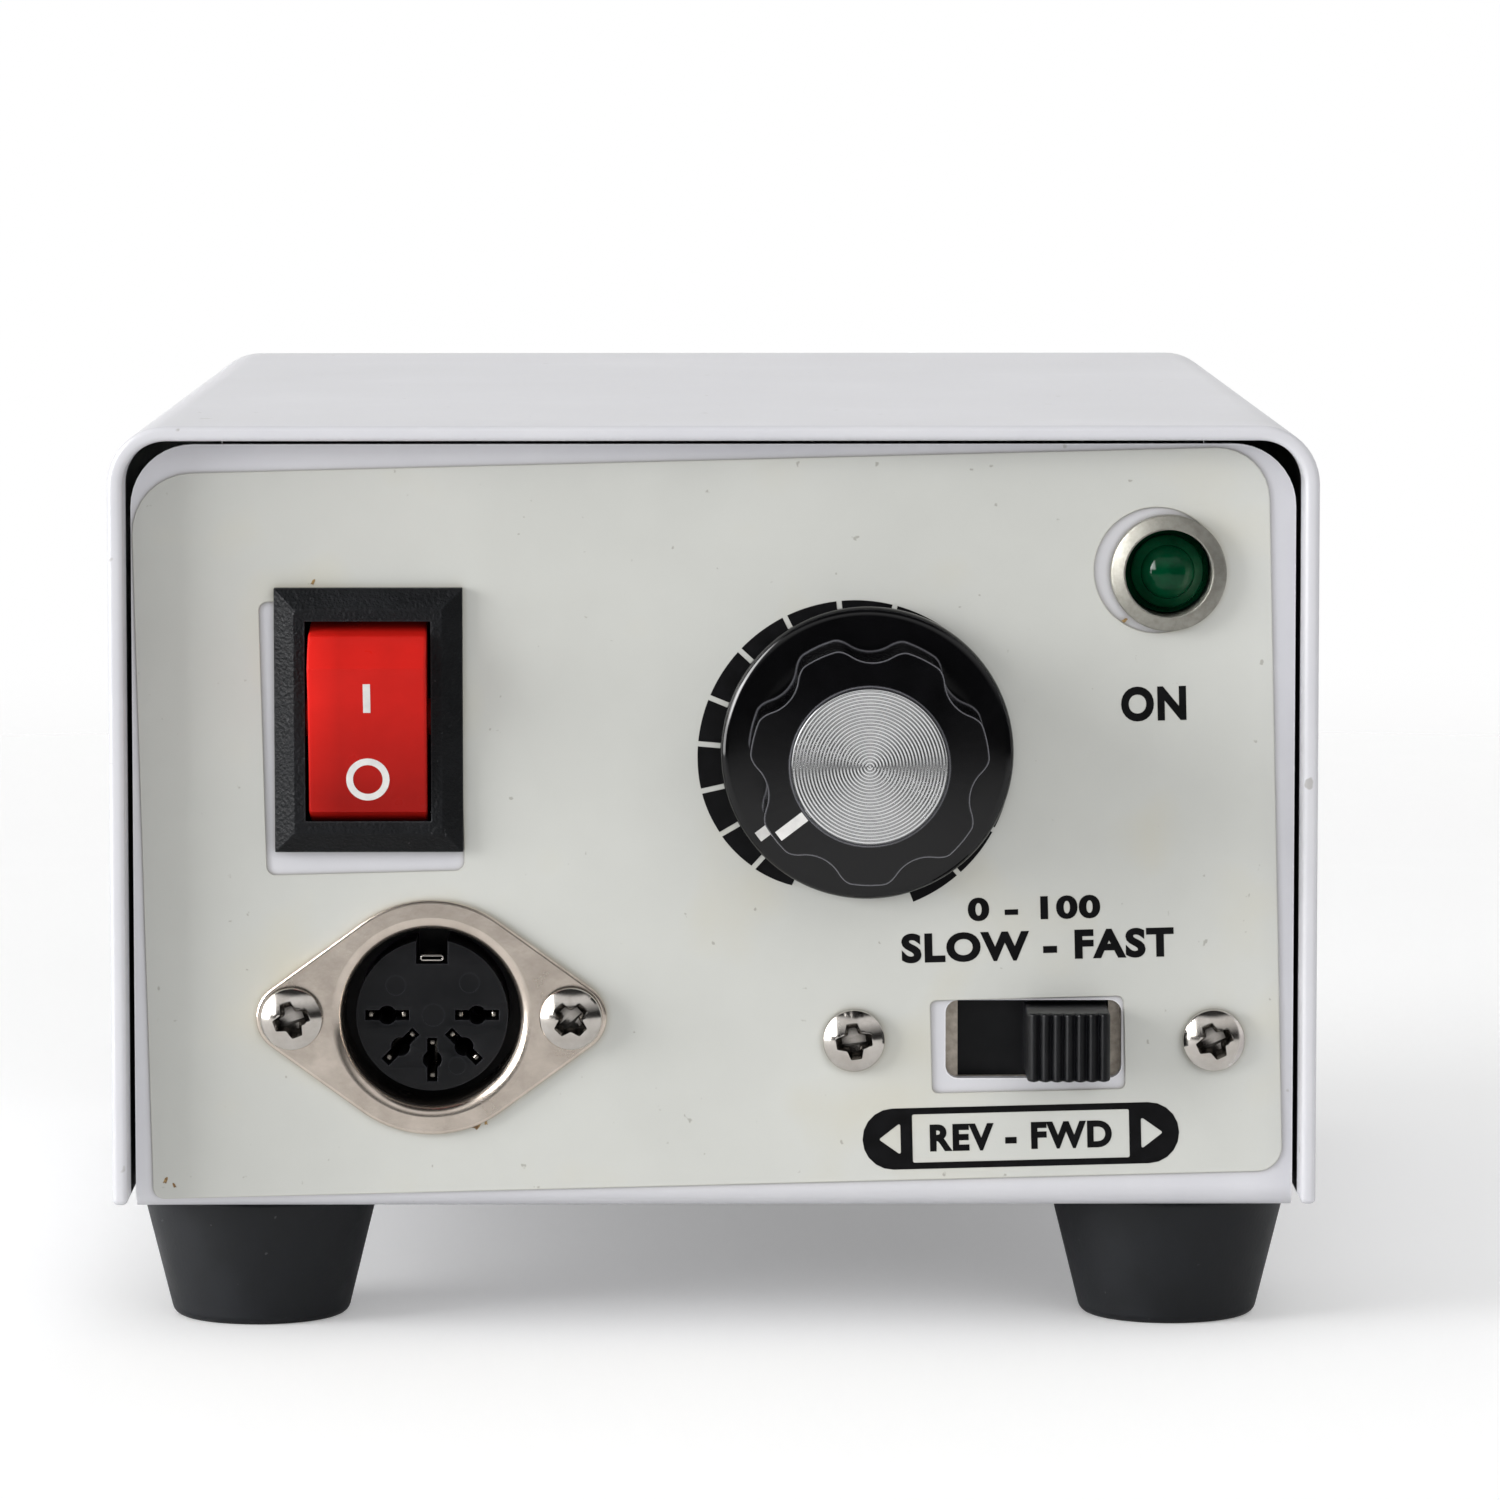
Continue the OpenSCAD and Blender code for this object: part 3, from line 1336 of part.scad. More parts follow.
module panel_screws() {
    socket_screw_places() {
        translate([0, 0, socket_face]) small_screw(socket_face + chassis_t + small_nut_h + screw_end);
        translate([0, 0, -chassis_t - small_nut_h]) hex_ring(small_nut_w, small_thread, small_nut_h);
    }
    slide_screw_places() translate([0, 0, film_t])
        small_screw(film_t + chassis_t + slide_frame_t + screw_end);
}

module slide_frame() {
    difference() {
        on_panel(slide_x, slide_z) difference() {
            union() {
                translate([0, 0, -slide_front]) linear_extrude(height = slide_frame_t)
                    square([slide_frame_w, slide_frame_h], center = true);
                translate([0, 0, -slide_back]) linear_extrude(height = slide_depth + slide_frame_t / 2)
                    square([slide_box_l, slide_frame_h], center = true);
            }
            translate([0, 0, -slide_back - 1]) linear_extrude(height = slide_depth + 1)
                square([slide_cave_l, slide_cave_h], center = true);
            translate([0, 0, -slide_front - 1]) linear_extrude(height = slide_frame_t + 2)
                square([slide_window_w, slide_slot_h], center = true);
        }
        slide_screw_places() translate([0, 0, -slide_front - 1])
            cylinder(d = small_thread, h = slide_frame_t + 2);
    }
}

// Local frame on the sliding piece, resting at the right end of its travel
module at_slider() {
    on_panel(slide_x + slide_travel / 2, slide_z) children();
}

module slide_actuator() {
    rib_pitch = slide_knob_w / slide_ribs;
    at_slider() difference() {
        union() {
            translate([0, 0, -slide_plate_back]) linear_extrude(height = slide_plate_t)
                square([slider_l, slide_plate_h], center = true);
            translate([0, 0, -slide_plate_front - slide_plate_t / 2])
                linear_extrude(height = slide_plate_front + slide_plate_t / 2 + slide_knob_reach)
                    square([slide_knob_w, slide_knob_h], center = true);
        }
        for (k = [1:slide_ribs - 1])
            translate([(k - slide_ribs / 2) * rib_pitch, 0, slide_knob_reach]) rotate([0, 45, 0])
                cube([slide_rib_h, slide_knob_h + 1, slide_rib_h], center = true);
    }
}

module slide_contacts() {
    at_slider() for (s = [-1, 1])
        translate([-slide_clip_l / 2, s * slide_row_pitch / 2 - slide_clip_w / 2, -slide_clip_back])
            cube([slide_clip_l, slide_clip_w, slide_clip_back - slide_plate_back]);
}

module slide_pin_places() {
    on_panel(slide_x, slide_z) for (i = [-1, 0, 1], s = [-1, 1])
        translate([i * slide_pin_pitch, s * slide_row_pitch / 2, 0]) children();
}

module slide_base() {
    difference() {
        on_panel(slide_x, slide_z) translate([0, 0, -slide_back]) linear_extrude(height = slide_base_t)
            square([slide_cave_l - 2 * fit_gap, slide_cave_h - 2 * fit_gap], center = true);
        slide_pin_places() translate([0, 0, -slide_back - 1])
            cylinder(d = slide_tail_w + 2 * fit_gap, h = slide_base_t + 2);
    }
}

module slide_terminals() {
    slide_pin_places() {
        translate([0, 0, -slide_base_front]) cylinder(d = slide_pin_d, h = slide_pin_h);
        translate([0, 0, -slide_back - slide_tail_l])
            cylinder(d = slide_tail_w, h = slide_tail_l + slide_base_t + slide_pin_h / 2);
    }
}

module lamp_bezel() {
    on_panel(lamp_x, lamp_z) rotate_extrude() polygon([
        [lamp_bore_d / 2, -lamp_depth], [lamp_barrel_d / 2, -lamp_depth], [lamp_barrel_d / 2, film_t],
        [lamp_bezel_d / 2, film_t], [lamp_bezel_d / 2, film_t + lamp_edge_h],
        [lamp_bore_d / 2 + lamp_wall / 2, lamp_front], [lamp_bore_d / 2, lamp_front]
    ]);
}

module lamp_lens() {
    dome_h = lamp_front - lamp_shoulder;
    dome_r = (lamp_dome_d * lamp_dome_d / 4 + dome_h * dome_h) / (2 * dome_h);
    inner_d = lamp_lens_d - 2 * lamp_lens_wall;
    on_panel(lamp_x, lamp_z) difference() {
        rotate_extrude() union() {
            translate([0, -lamp_lens_back]) square([lamp_lens_d / 2, lamp_lens_l]);
            intersection() {
                translate([0, lamp_front - dome_r]) circle(dome_r);
                translate([0, lamp_shoulder - lamp_lens_wall / 2]) square([lamp_dome_d / 2, dome_h + 1]);
            }
        }
        translate([0, 0, -lamp_lens_back - 1]) cylinder(d = inner_d, h = lamp_lens_l - lamp_lens_wall + 1);
    }
}

module lamp_nut() {
    on_panel(lamp_x, lamp_z) translate([0, 0, -chassis_t - lamp_nut_h])
        hex_ring(lamp_nut_w, lamp_barrel_d + 2 * run_gap, lamp_nut_h);
}

module lamp_bulb() {
    on_panel(lamp_x, lamp_z) {
        translate([0, 0, -lamp_depth]) cylinder(d = lamp_bulb_d, h = lamp_depth - lamp_bulb_d / 2);
        translate([0, 0, -lamp_bulb_d / 2]) sphere(d = lamp_bulb_d);
        translate([0, 0, -lamp_depth])
            cylinder(d = lamp_bore_d - 2 * fit_gap, h = lamp_depth - lamp_lens_back - 2 * free_gap);
        for (s = [-1, 1]) translate([s * lamp_bulb_d / 4, 0, -lamp_depth - lamp_lead_l])
            cylinder(d = lamp_lead_d, h = lamp_lead_l + 1);
    }
}

module transformer_core() {
    on_base(core_x, core_y) across(core_stack) difference() {
        translate([-core_w / 2, 0]) square([core_w, core_h]);
        for (s = [-1, 1])
            translate([s * 1.5 * core_leg - core_leg / 2, core_leg]) square([core_leg, core_h - 2 * core_leg]);
    }
}

module transformer_bobbin() {
    on_base(core_x, core_y) difference() {
        union() {
            translate([-bobbin_x, -bobbin_y, bobbin_low])
                cube([2 * bobbin_x, 2 * bobbin_y, bobbin_high - bobbin_low]);
            for (z = [bobbin_low, bobbin_high - bobbin_wall])
                translate([-bobbin_flange_x, -bobbin_flange_y, z])
                    cube([2 * bobbin_flange_x, 2 * bobbin_flange_y, bobbin_wall]);
        }
        translate([-core_stack / 2 - fit_gap, -core_leg - fit_gap, 0])
            cube([core_stack + 2 * fit_gap, 2 * (core_leg + fit_gap), core_h]);
    }
}

module transformer_winding() {
    low = bobbin_low + bobbin_wall + fit_gap;
    on_base(core_x, core_y) translate([0, 0, low])
        linear_extrude(height = bobbin_high - bobbin_wall - fit_gap - low) difference() {
            rounded_rect(2 * coil_x, 2 * coil_y, coil_r);
            square([2 * (bobbin_x + fit_gap), 2 * (bobbin_y + fit_gap)], center = true);
        }
}

module transformer_strap() {
    difference() {
        on_base(core_x, core_y) across(strap_w) {
            translate([-strap_side, core_h]) square([2 * strap_side, strap_t]);
            for (s = [-1, 1]) {
                translate([s * (strap_side - strap_t / 2) - strap_t / 2, 0]) square([strap_t, core_h + strap_t]);
                translate([s * (strap_side + strap_foot / 2) - strap_foot / 2, 0]) square([strap_foot, strap_t]);
            }
        }
        strap_bolt_places() translate([0, 0, -1]) cylinder(d = screw_hole, h = strap_t + 2);
    }
}

module transformer_bolts() {
    strap_bolt_places() {
        translate([0, 0, -chassis_t]) rotate([180, 0, 0])
            case_screw(chassis_t + strap_t + nut_h + screw_end);
        translate([0, 0, strap_t]) hex_ring(nut_w, thread_hole, nut_h);
    }
}

module circuit_board() {
    difference() {
        on_base(board_x, board_y) translate([0, 0, pillar_h]) linear_extrude(height = board_t)
            square([board_w, board_l], center = true);
        pillar_places() translate([0, 0, pillar_h - 1]) cylinder(d = small_hole, h = board_t + 2);
    }
}

module board_pillars() {
    pillar_places() ring(pillar_d, small_thread, pillar_h);
}

module board_screws() {
    pillar_places() {
        translate([0, 0, board_top]) small_screw(board_t + pillar_thread);
        translate([0, 0, -chassis_t]) rotate([180, 0, 0]) small_screw(chassis_t + pillar_thread);
    }
}

module on_board(x, y) {
    on_base(board_x + x, board_y + y) translate([0, 0, board_top]) children();
}

module capacitor() {
    on_board(-board_w / 2 + capacitor_d / 2 + 1, capacitor_y)
        cylinder(d = capacitor_d, h = capacitor_h);
}

// Connector strip, rectifier and resistors standing on the board
module board_parts() {
    strip_w = board_w - 5 * pillar_inset;
    strip_d = 2 * strip_h / 3;
    bridge_t = 0.28 * bridge_l;
    resistor_l = 2.7 * resistor_d;
    on_board(0, pillar_inset - board_l / 2) linear_extrude(height = strip_h)
        square([strip_w, strip_d], center = true);
    on_board(board_w / 2 - bridge_t, capacitor_y) linear_extrude(height = 0.8 * bridge_l)
        square([bridge_t, bridge_l], center = true);
    for (k = [0:2])
        on_board(1.4 * (k - 1) * resistor_d, (board_l - pillar_inset - resistor_l) / 2)
            translate([0, 0, resistor_d / 2]) rotate([90, 0, 0])
                cylinder(d = resistor_d, h = resistor_l, center = true);
}

module heat_sink() {
    fins = 5;
    on_board(0, sink_y) linear_extrude(height = sink_h) {
        translate([-sink_l / 2, 0]) square([sink_l, sink_t]);
        for (k = [0:fins - 1])
            translate([-sink_l / 2 + k * (sink_l - sink_t) / (fins - 1), sink_t / 2])
                square([sink_t, sink_fin]);
    }
}

// Flat package whose proportions follow its width
module transistor() {
    w = transistor_w;
    lead = 0.08 * w;
    on_board(0, sink_y) {
        translate([-w / 2, -0.13 * w, w / 2]) cube([w, 0.13 * w, 1.55 * w]);
        translate([-w / 2, -0.45 * w, w / 2]) cube([w, 0.36 * w, 0.9 * w]);
        for (k = [-1, 0, 1])
            translate([0.254 * k * w - lead / 2, -0.3 * w, 0]) cube([lead, 0.05 * w, 0.55 * w]);
    }
}

module cord_bush() {
    on_rear(cord_x, cord_z) rotate_extrude() polygon([
        [cord_bore_d / 2, -chassis_t - cord_flange_t], [cord_flange_d / 2 - 1, -chassis_t - cord_flange_t],
        [cord_flange_d / 2, -chassis_t], [cord_tube_d / 2, -chassis_t], [cord_tube_d / 2, 0],
        [cord_flange_d / 2, 0], [cord_flange_d / 2, cord_flange_t - 1],
        [cord_flange_d / 2 - 1, cord_flange_t], [cord_bore_d / 2, cord_flange_t]
    ]);
}

module fuse_holder() {
    on_rear(fuse_x, fuse_z) {
        difference() {
            union() {
                translate([0, 0, -fuse_depth]) cylinder(d = fuse_tube_d, h = fuse_depth + fuse_flange_t / 2);
                cylinder(d = fuse_flange_d, h = fuse_flange_t);
            }
            translate([0, 0, fuse_wall - fuse_depth])
                cylinder(d = fuse_bore_d, h = fuse_depth + fuse_flange_t);
        }
    }
    on_rear(fuse_x, fuse_z) {
        translate([-2, -0.4, -fuse_depth - 4]) cube([4, 0.8, 4]);
    }
}

module fuse_nut() {
    on_rear(fuse_x, fuse_z) translate([0, 0, -chassis_t - fuse_nut_h])
        hex_ring(fuse_nut_w, fuse_tube_d + 2 * run_gap, fuse_nut_h);
}

module fuse_cap() {
    on_rear(fuse_x, fuse_z) difference() {
        union() {
            translate([0, 0, fuse_flange_t]) cylinder(d = fuse_grip_d, h = fuse_grip_h);
            translate([0, 0, fuse_flange_t - fuse_shank_l])
                cylinder(d = fuse_shank_d, h = fuse_shank_l + fuse_grip_h / 2);
        }
        translate([0, 0, fuse_flange_t - fuse_shank_l - 1])
            cylinder(d = fuse_socket_d, h = fuse_front - fuse_flange_t + fuse_shank_l + 1);
        translate([-fuse_grip_d, -0.7, fuse_flange_t + fuse_grip_h - 1.4]) cube([2 * fuse_grip_d, 1.4, 2]);
    }
}

module fuse_link() {
    band = fuse_l / 4;
    on_rear(fuse_x, fuse_z) translate([0, 0, fuse_front - fuse_l]) {
        for (z = [0, fuse_l - band])
            translate([0, 0, z]) cylinder(d = fuse_d, h = band);
        translate([0, 0, band]) ring(fuse_d - 0.6, fuse_d - 2, fuse_l - 2 * band);
    }
}

module foot_jack() {
    on_rear(jack_x, jack_z) difference() {
        union() {
            translate([0, 0, -chassis_t - jack_body_l]) linear_extrude(height = jack_body_l)
                square([jack_body_w, jack_body_w], center = true);
            translate([0, 0, -chassis_t - 1]) cylinder(d = jack_bush_d, h = chassis_t + 1 + jack_proud);
        }
        translate([0, 0, -chassis_t - jack_blind])
            cylinder(d = jack_bore_d, h = chassis_t + jack_blind + jack_proud + 1);
    }
}

module jack_nut() {
    on_rear(jack_x, jack_z)
        hex_ring(jack_nut_w, jack_bush_d + 2 * run_gap, jack_nut_h);
}
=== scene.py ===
"""Dresses the control unit of a dental micromotor and sets it on a pale studio floor."""

import json
import math

import bpy
from mathutils import Matrix, Vector


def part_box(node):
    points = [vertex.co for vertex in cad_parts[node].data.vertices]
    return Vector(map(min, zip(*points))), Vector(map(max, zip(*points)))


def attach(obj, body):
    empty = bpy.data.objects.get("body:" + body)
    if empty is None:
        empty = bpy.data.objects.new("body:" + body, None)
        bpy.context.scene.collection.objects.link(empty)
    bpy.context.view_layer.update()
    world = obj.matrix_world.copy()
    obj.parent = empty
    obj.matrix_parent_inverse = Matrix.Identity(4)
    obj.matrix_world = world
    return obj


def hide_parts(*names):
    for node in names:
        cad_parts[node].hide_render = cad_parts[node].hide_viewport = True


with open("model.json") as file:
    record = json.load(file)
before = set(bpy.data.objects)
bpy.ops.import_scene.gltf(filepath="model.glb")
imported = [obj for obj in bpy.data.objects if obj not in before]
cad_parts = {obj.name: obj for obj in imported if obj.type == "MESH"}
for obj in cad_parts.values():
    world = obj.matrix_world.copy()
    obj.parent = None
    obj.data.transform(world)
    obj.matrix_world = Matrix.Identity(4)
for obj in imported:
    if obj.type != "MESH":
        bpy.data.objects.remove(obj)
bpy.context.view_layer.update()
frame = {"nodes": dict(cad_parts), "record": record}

MM = 0.001
WELD = 1e-6
QUARTER = math.pi / 2

# The case, mm: X to the right, Y to the rear and Z up
CASE_W, CASE_TOP, BASE_Z = 96.0, 73.5, 10.5
PANEL_Y, REAR_Y = -59.4, 62.6
SHEET, FILM, FLANGE, INK = 1.2, 0.25, 0.8, 0.02
FILM_TILT = math.radians(1.4)

# The middle of each fitting, X and Z in mm: five on the front panel and three on the rear one
ROCKER = (-27.5, 49.9)
KNOB = (12.2, 47.3)
SOCKET = (-22.6, 26.0)
SLIDE = (25.6, 24.1)
LAMP = (36.2, 61.6)
CORD_BUSH = (-30, 24.5)
FUSE = (28, 54.5)
FOOT_JACK = (6, 34.5)

# How far the socket's and the direction switch's screws stand from their middles, and the socket's five pins
SOCKET_SCREW, SLIDE_SCREW = 11.15, 14.4
PIN_CIRCLE, PIN_ANGLES = 3.6, (0, -45, -90, -135, 180)


# The workbench: small functions that every piece is made with

def clear_bench():
    """Leaves edit mode and drops every selection."""
    if bpy.context.object and bpy.context.object.mode != "OBJECT":
        bpy.ops.object.mode_set(mode="OBJECT")
    bpy.ops.object.select_all(action="DESELECT")


def hold(piece):
    """Selects one piece alone and makes it the active one."""
    clear_bench()
    piece.select_set(True)
    bpy.context.view_layer.objects.active = piece


def pick(piece, kind, test):
    """Goes to edit mode with just the corners, edges or faces whose middle (mm) and direction pass the test."""
    hold(piece)
    bpy.ops.object.mode_set(mode="EDIT")
    bpy.ops.mesh.select_mode(type=kind)
    bpy.ops.mesh.select_all(action="DESELECT")
    bpy.ops.object.mode_set(mode="OBJECT")
    mesh = piece.data
    for part in {"VERT": mesh.vertices, "EDGE": mesh.edges, "FACE": mesh.polygons}[kind]:
        ends = [mesh.vertices[i].co for i in ([part.index] if kind == "VERT" else part.vertices)]
        way = (ends[-1] - ends[0]).normalized() if kind == "EDGE" else part.normal
        part.select = bool(test(sum(ends, Vector()) / len(ends) / MM, way))
    bpy.ops.object.mode_set(mode="EDIT")


def push(x=0.0, y=0.0, z=0.0):
    """Extrudes what is selected and moves it by so many mm."""
    bpy.ops.mesh.extrude_region_move(TRANSFORM_OT_translate={"value": (x * MM, y * MM, z * MM)})


def stretch(x, y, level=0.0):
    """Stretches what is selected across and along, about the Z axis at a level in mm."""
    bpy.ops.transform.resize(value=(x, y, 1), center_override=(0, 0, level * MM))


def close_up(piece, merge=True):
    """Merges doubled corners and turns every face outwards."""
    hold(piece)
    bpy.ops.object.mode_set(mode="EDIT")
    bpy.ops.mesh.select_all(action="SELECT")
    if merge:
        bpy.ops.mesh.remove_doubles(threshold=WELD)
    bpy.ops.mesh.normals_make_consistent(inside=False)
    bpy.ops.object.mode_set(mode="OBJECT")
    return piece


def work(piece, kind, **settings):
    """Adds one modifier with its settings and applies it."""
    step = piece.modifiers.new(kind.lower(), kind)
    for name, value in settings.items():
        setattr(step, name, value)
    hold(piece)
    bpy.ops.object.modifier_apply(modifier=step.name)
    return piece


def ease_edges(piece, width, steps, over):
    """Rounds the edges of a piece that are sharper than so many degrees."""
    return work(piece, "BEVEL", width=width * MM, segments=steps, limit_method="ANGLE",
                angle_limit=math.radians(over), use_clamp_overlap=True)


def combine(piece, tools, operation="DIFFERENCE"):
    """Cuts tools out of a piece, welds them on or keeps what they share with it."""
    for tool in tools:
        work(piece, "BOOLEAN", object=tool, operation=operation, solver="EXACT")
        bpy.data.objects.remove(tool, do_unlink=True)


def joined(name, pieces):
    """Makes one piece of several."""
    clear_bench()
    for piece in pieces:
        piece.select_set(True)
    bpy.context.view_layer.objects.active = pieces[0]
    bpy.ops.object.join()
    pieces[0].name = name
    return pieces[0]


def seat(piece, place):
    """Puts a piece in its place and leaves the place in its mesh."""
    hold(piece)
    piece.matrix_world = place @ piece.matrix_world
    bpy.ops.object.transform_apply(location=True, rotation=True, scale=True)
    return piece


def shift(x=0.0, y=0.0, z=0.0):
    """A plain move by so many mm."""
    return Matrix.Translation((x * MM, y * MM, z * MM))


def spun(angle, axis):
    """A plain turn about one axis."""
    return Matrix.Rotation(angle, 4, axis)


def front(x, z, out=0.0, turn=0.0):
    """A place on the front panel: X across, Y up and Z outwards."""
    return shift(x, PANEL_Y - out, z) @ spun(QUARTER, "X") @ spun(turn, "Z")


def rear(x, z, out=0.0, turn=0.0):
    """A place on the rear panel: Y up and Z outwards, seen from behind."""
    return shift(x, REAR_Y + out, z) @ spun(math.pi, "Z") @ spun(QUARTER, "X") @ spun(turn, "Z")


def twin(piece, place):
    """A copy of a piece, with its own mesh, in another place."""
    copy = piece.copy()
    copy.data = piece.data.copy()
    bpy.context.collection.objects.link(copy)
    return seat(copy, place)


def swung(x, y, angle):
    """A point turned about the middle."""
    return x * math.cos(angle) - y * math.sin(angle), x * math.sin(angle) + y * math.cos(angle)


def arc_line(r, first, sweep, steps, x=0.0, y=0.0):
    """Points of an arc about (x, y), from one angle through a sweep, mm."""
    return [(x + r * math.cos(first + sweep * k / steps), y + r * math.sin(first + sweep * k / steps))
            for k in range(steps + 1)]


def ring_line(r, x=0.0, y=0.0, n=72):
    """Points of a circle, mm."""
    return arc_line(r, 0.0, math.tau, n, x, y)[:-1]


def eased(corners, closed=True, steps=5):
    """Points of a line through corners (x, y) or (x, y, round), each round turned as an arc, mm."""
    line = []
    for i, (x, y, *ease) in enumerate(corners):
        here = Vector((x, y))
        if not ease or not ease[0] or (not closed and i in (0, len(corners) - 1)):
            line.append((x, y))
            continue
        back = (Vector(corners[i - 1][:2]) - here).normalized()
        ahead = (Vector(corners[(i + 1) % len(corners)][:2]) - here).normalized()
        half = back.angle(ahead) / 2
        centre = here + (back + ahead).normalized() * ease[0] / math.sin(half)
        start, end = (here + way * ease[0] / math.tan(half) - centre for way in (back, ahead))
        first = math.atan2(start.y, start.x)
        sweep = (math.atan2(end.y, end.x) - first + math.pi) % math.tau - math.pi
        line += arc_line(ease[0], first, sweep, steps, *centre)
    return line


def hex_line(r, ease):
    """Points of a nut's outline with eased corners, mm."""
    return eased([(x, y, ease) for x, y in ring_line(r, n=6)])


def box_line(w, h, r=0.0, x=0.0, y=0.0):
    """Points of a rectangle with rounded corners, mm."""
    return eased([(x + w / 2, y + h / 2, r), (x - w / 2, y + h / 2, r),
                  (x - w / 2, y - h / 2, r), (x + w / 2, y - h / 2, r)])


def drawn(name, lines, closed, **settings):
    """Draws lines (mm) as one curve with its settings and makes a mesh of it."""
    clear_bench()
    curve = bpy.data.curves.new(name, "CURVE")
    for key, value in settings.items():
        setattr(curve, key, value)
    for spots in lines:
        line = curve.splines.new("POLY")
        line.points.add(len(spots) - 1)
        for point, (x, y, *z) in zip(line.points, spots):
            point.co = (x * MM, y * MM, z[0] * MM if z else 0, 1)
        line.use_cyclic_u = closed
    piece = bpy.data.objects.new(name, curve)
    bpy.context.collection.objects.link(piece)
    hold(piece)
    bpy.ops.object.convert(target="MESH")
    return bpy.context.object


def cut_sheet(name, loops, thick, edge=0.0, steps=2):
    """Cuts a sheet along closed lines, borders and holes alike, its back at Z = 0 and its edges eased."""
    sheet = drawn(name, loops, True, dimensions="2D", fill_mode="BOTH", extrude=(thick / 2 - edge) * MM,
                  bevel_depth=edge * MM, bevel_resolution=steps, offset=-edge * MM)
    return close_up(seat(sheet, shift(z=thick / 2)))


def wound(name, path, wire, sides):
    """Bends round wire along a path of (x, y, z) points."""
    return close_up(drawn(name, [path], False, dimensions="3D", bevel_depth=wire / 2 * MM,
                          bevel_resolution=sides, use_fill_caps=True))


def blank(name, size, at=(0, 0, 0), shape=bpy.ops.mesh.primitive_plane_add):
    """Starts a piece as a plane or a cube of a given size, with its middle at a place, mm."""
    clear_bench()
    shape(size=1, location=[c * MM for c in at])
    piece = bpy.context.object
    piece.name = name
    piece.scale = [c * MM for c in size]
    bpy.ops.object.transform_apply(location=True, rotation=True, scale=True)
    return piece


def drag(path):
    """Moves what is selected to the start of a path of (x, z) points and extrudes it along, mm."""
    bpy.ops.transform.translate(value=(path[0][0] * MM, 0, path[0][1] * MM))
    for (x, z), (next_x, next_z) in zip(path, path[1:]):
        push(next_x - x, 0, next_z - z)


def turned(name, corners, steps=72, arc=5):
    """Spins an open line of corners (radius, height) or (radius, height, round) about Z, as on a lathe."""
    piece = blank(name, (1, 1, 1))
    bpy.ops.object.mode_set(mode="EDIT")
    bpy.ops.mesh.select_mode(type="VERT")
    bpy.ops.mesh.merge(type="CENTER")
    drag(eased(corners, closed=False, steps=arc))
    bpy.ops.mesh.select_all(action="SELECT")
    bpy.ops.mesh.spin(steps=steps, angle=math.tau, center=(0, 0, 0), axis=(0, 0, 1))
    return close_up(piece)


def rod(name, r, low, high, steps):
    """Turns a plain rod along Z."""
    return turned(name, [(0, low), (r, low), (r, high), (0, high)], steps)


def score(piece, *lines):
    """Scores a sheet from side to side at places along its depth, mm."""
    for y in lines:
        pick(piece, "FACE", lambda at, way: True)
        bpy.ops.mesh.bisect(plane_co=(0, y * MM, 0), plane_no=(0, 1, 0))


def strip(name, path, width, thick):
    """Lays a flat strip of one width along a path of (x, z) points."""
    piece = blank(name, (width, width, 1))
    bpy.ops.object.mode_set(mode="EDIT")
    bpy.ops.mesh.select_mode(type="VERT")
    stretch(0, 1)
    bpy.ops.mesh.remove_doubles(threshold=WELD)
    drag(path)
    close_up(piece)
    return work(piece, "SOLIDIFY", thickness=thick * MM, offset=0)


def done(piece, finish, body, slot, *nodes, sharp=35):
    """Gives a finished piece its surface and its body and hides the nodes that it stands for; its slot is not used.
    """
    hold(piece)
    piece.data.materials.clear()
    piece.data.materials.append(finish)
    bpy.ops.object.shade_smooth_by_angle(angle=math.radians(sharp))
    work(piece, "WEIGHTED_NORMAL", keep_sharp=True)
    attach(piece, body)
    if nodes:
        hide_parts(*nodes)


# Surfaces

def linear(code):
    """Turns an sRGB hex colour to the linear values that a shader takes."""
    parts = [int(code[i:i + 2], 16) / 255 for i in (1, 3, 5)]
    return [c / 12.92 if c <= 0.04045 else ((c + 0.055) / 1.055) ** 2.4 for c in parts] + [1]


def add(tree, kind, **settings):
    """Adds a node. A setting is an option, a socket by name or by number (in6), or a ramp's stops."""
    node = tree.nodes.new("ShaderNode" + kind)
    for key, value in settings.items():
        if key == "stops":
            marks = node.color_ramp.elements
            marks.remove(marks[-1])
            marks[0].position, marks[0].color = value[0][0], linear(value[0][1])
            for spot, colour in value[1:]:
                marks.new(spot).color = linear(colour)
            continue
        by_number = key[:2] == "in" and key[2:].isdigit()
        socket = node.inputs[int(key[2:])] if by_number else node.inputs.get(key.replace("_", " "))
        if socket is None:
            setattr(node, key, value)
        elif isinstance(value, bpy.types.NodeSocket):
            tree.links.new(value, socket)
        else:
            socket.default_value = linear(value) if isinstance(value, str) else value
    return node


def ramp(tree, value, start, end, low=0.0, high=1.0):
    """A share that runs from low to high as a value runs from start to end."""
    return add(tree, "MapRange", Value=value, From_Min=start, From_Max=end, To_Min=low, To_Max=high).outputs["Result"]


def calc(tree, operation, first, second):
    """One sum of two values."""
    return add(tree, "Math", operation=operation, in0=first, in1=second).outputs["Value"]


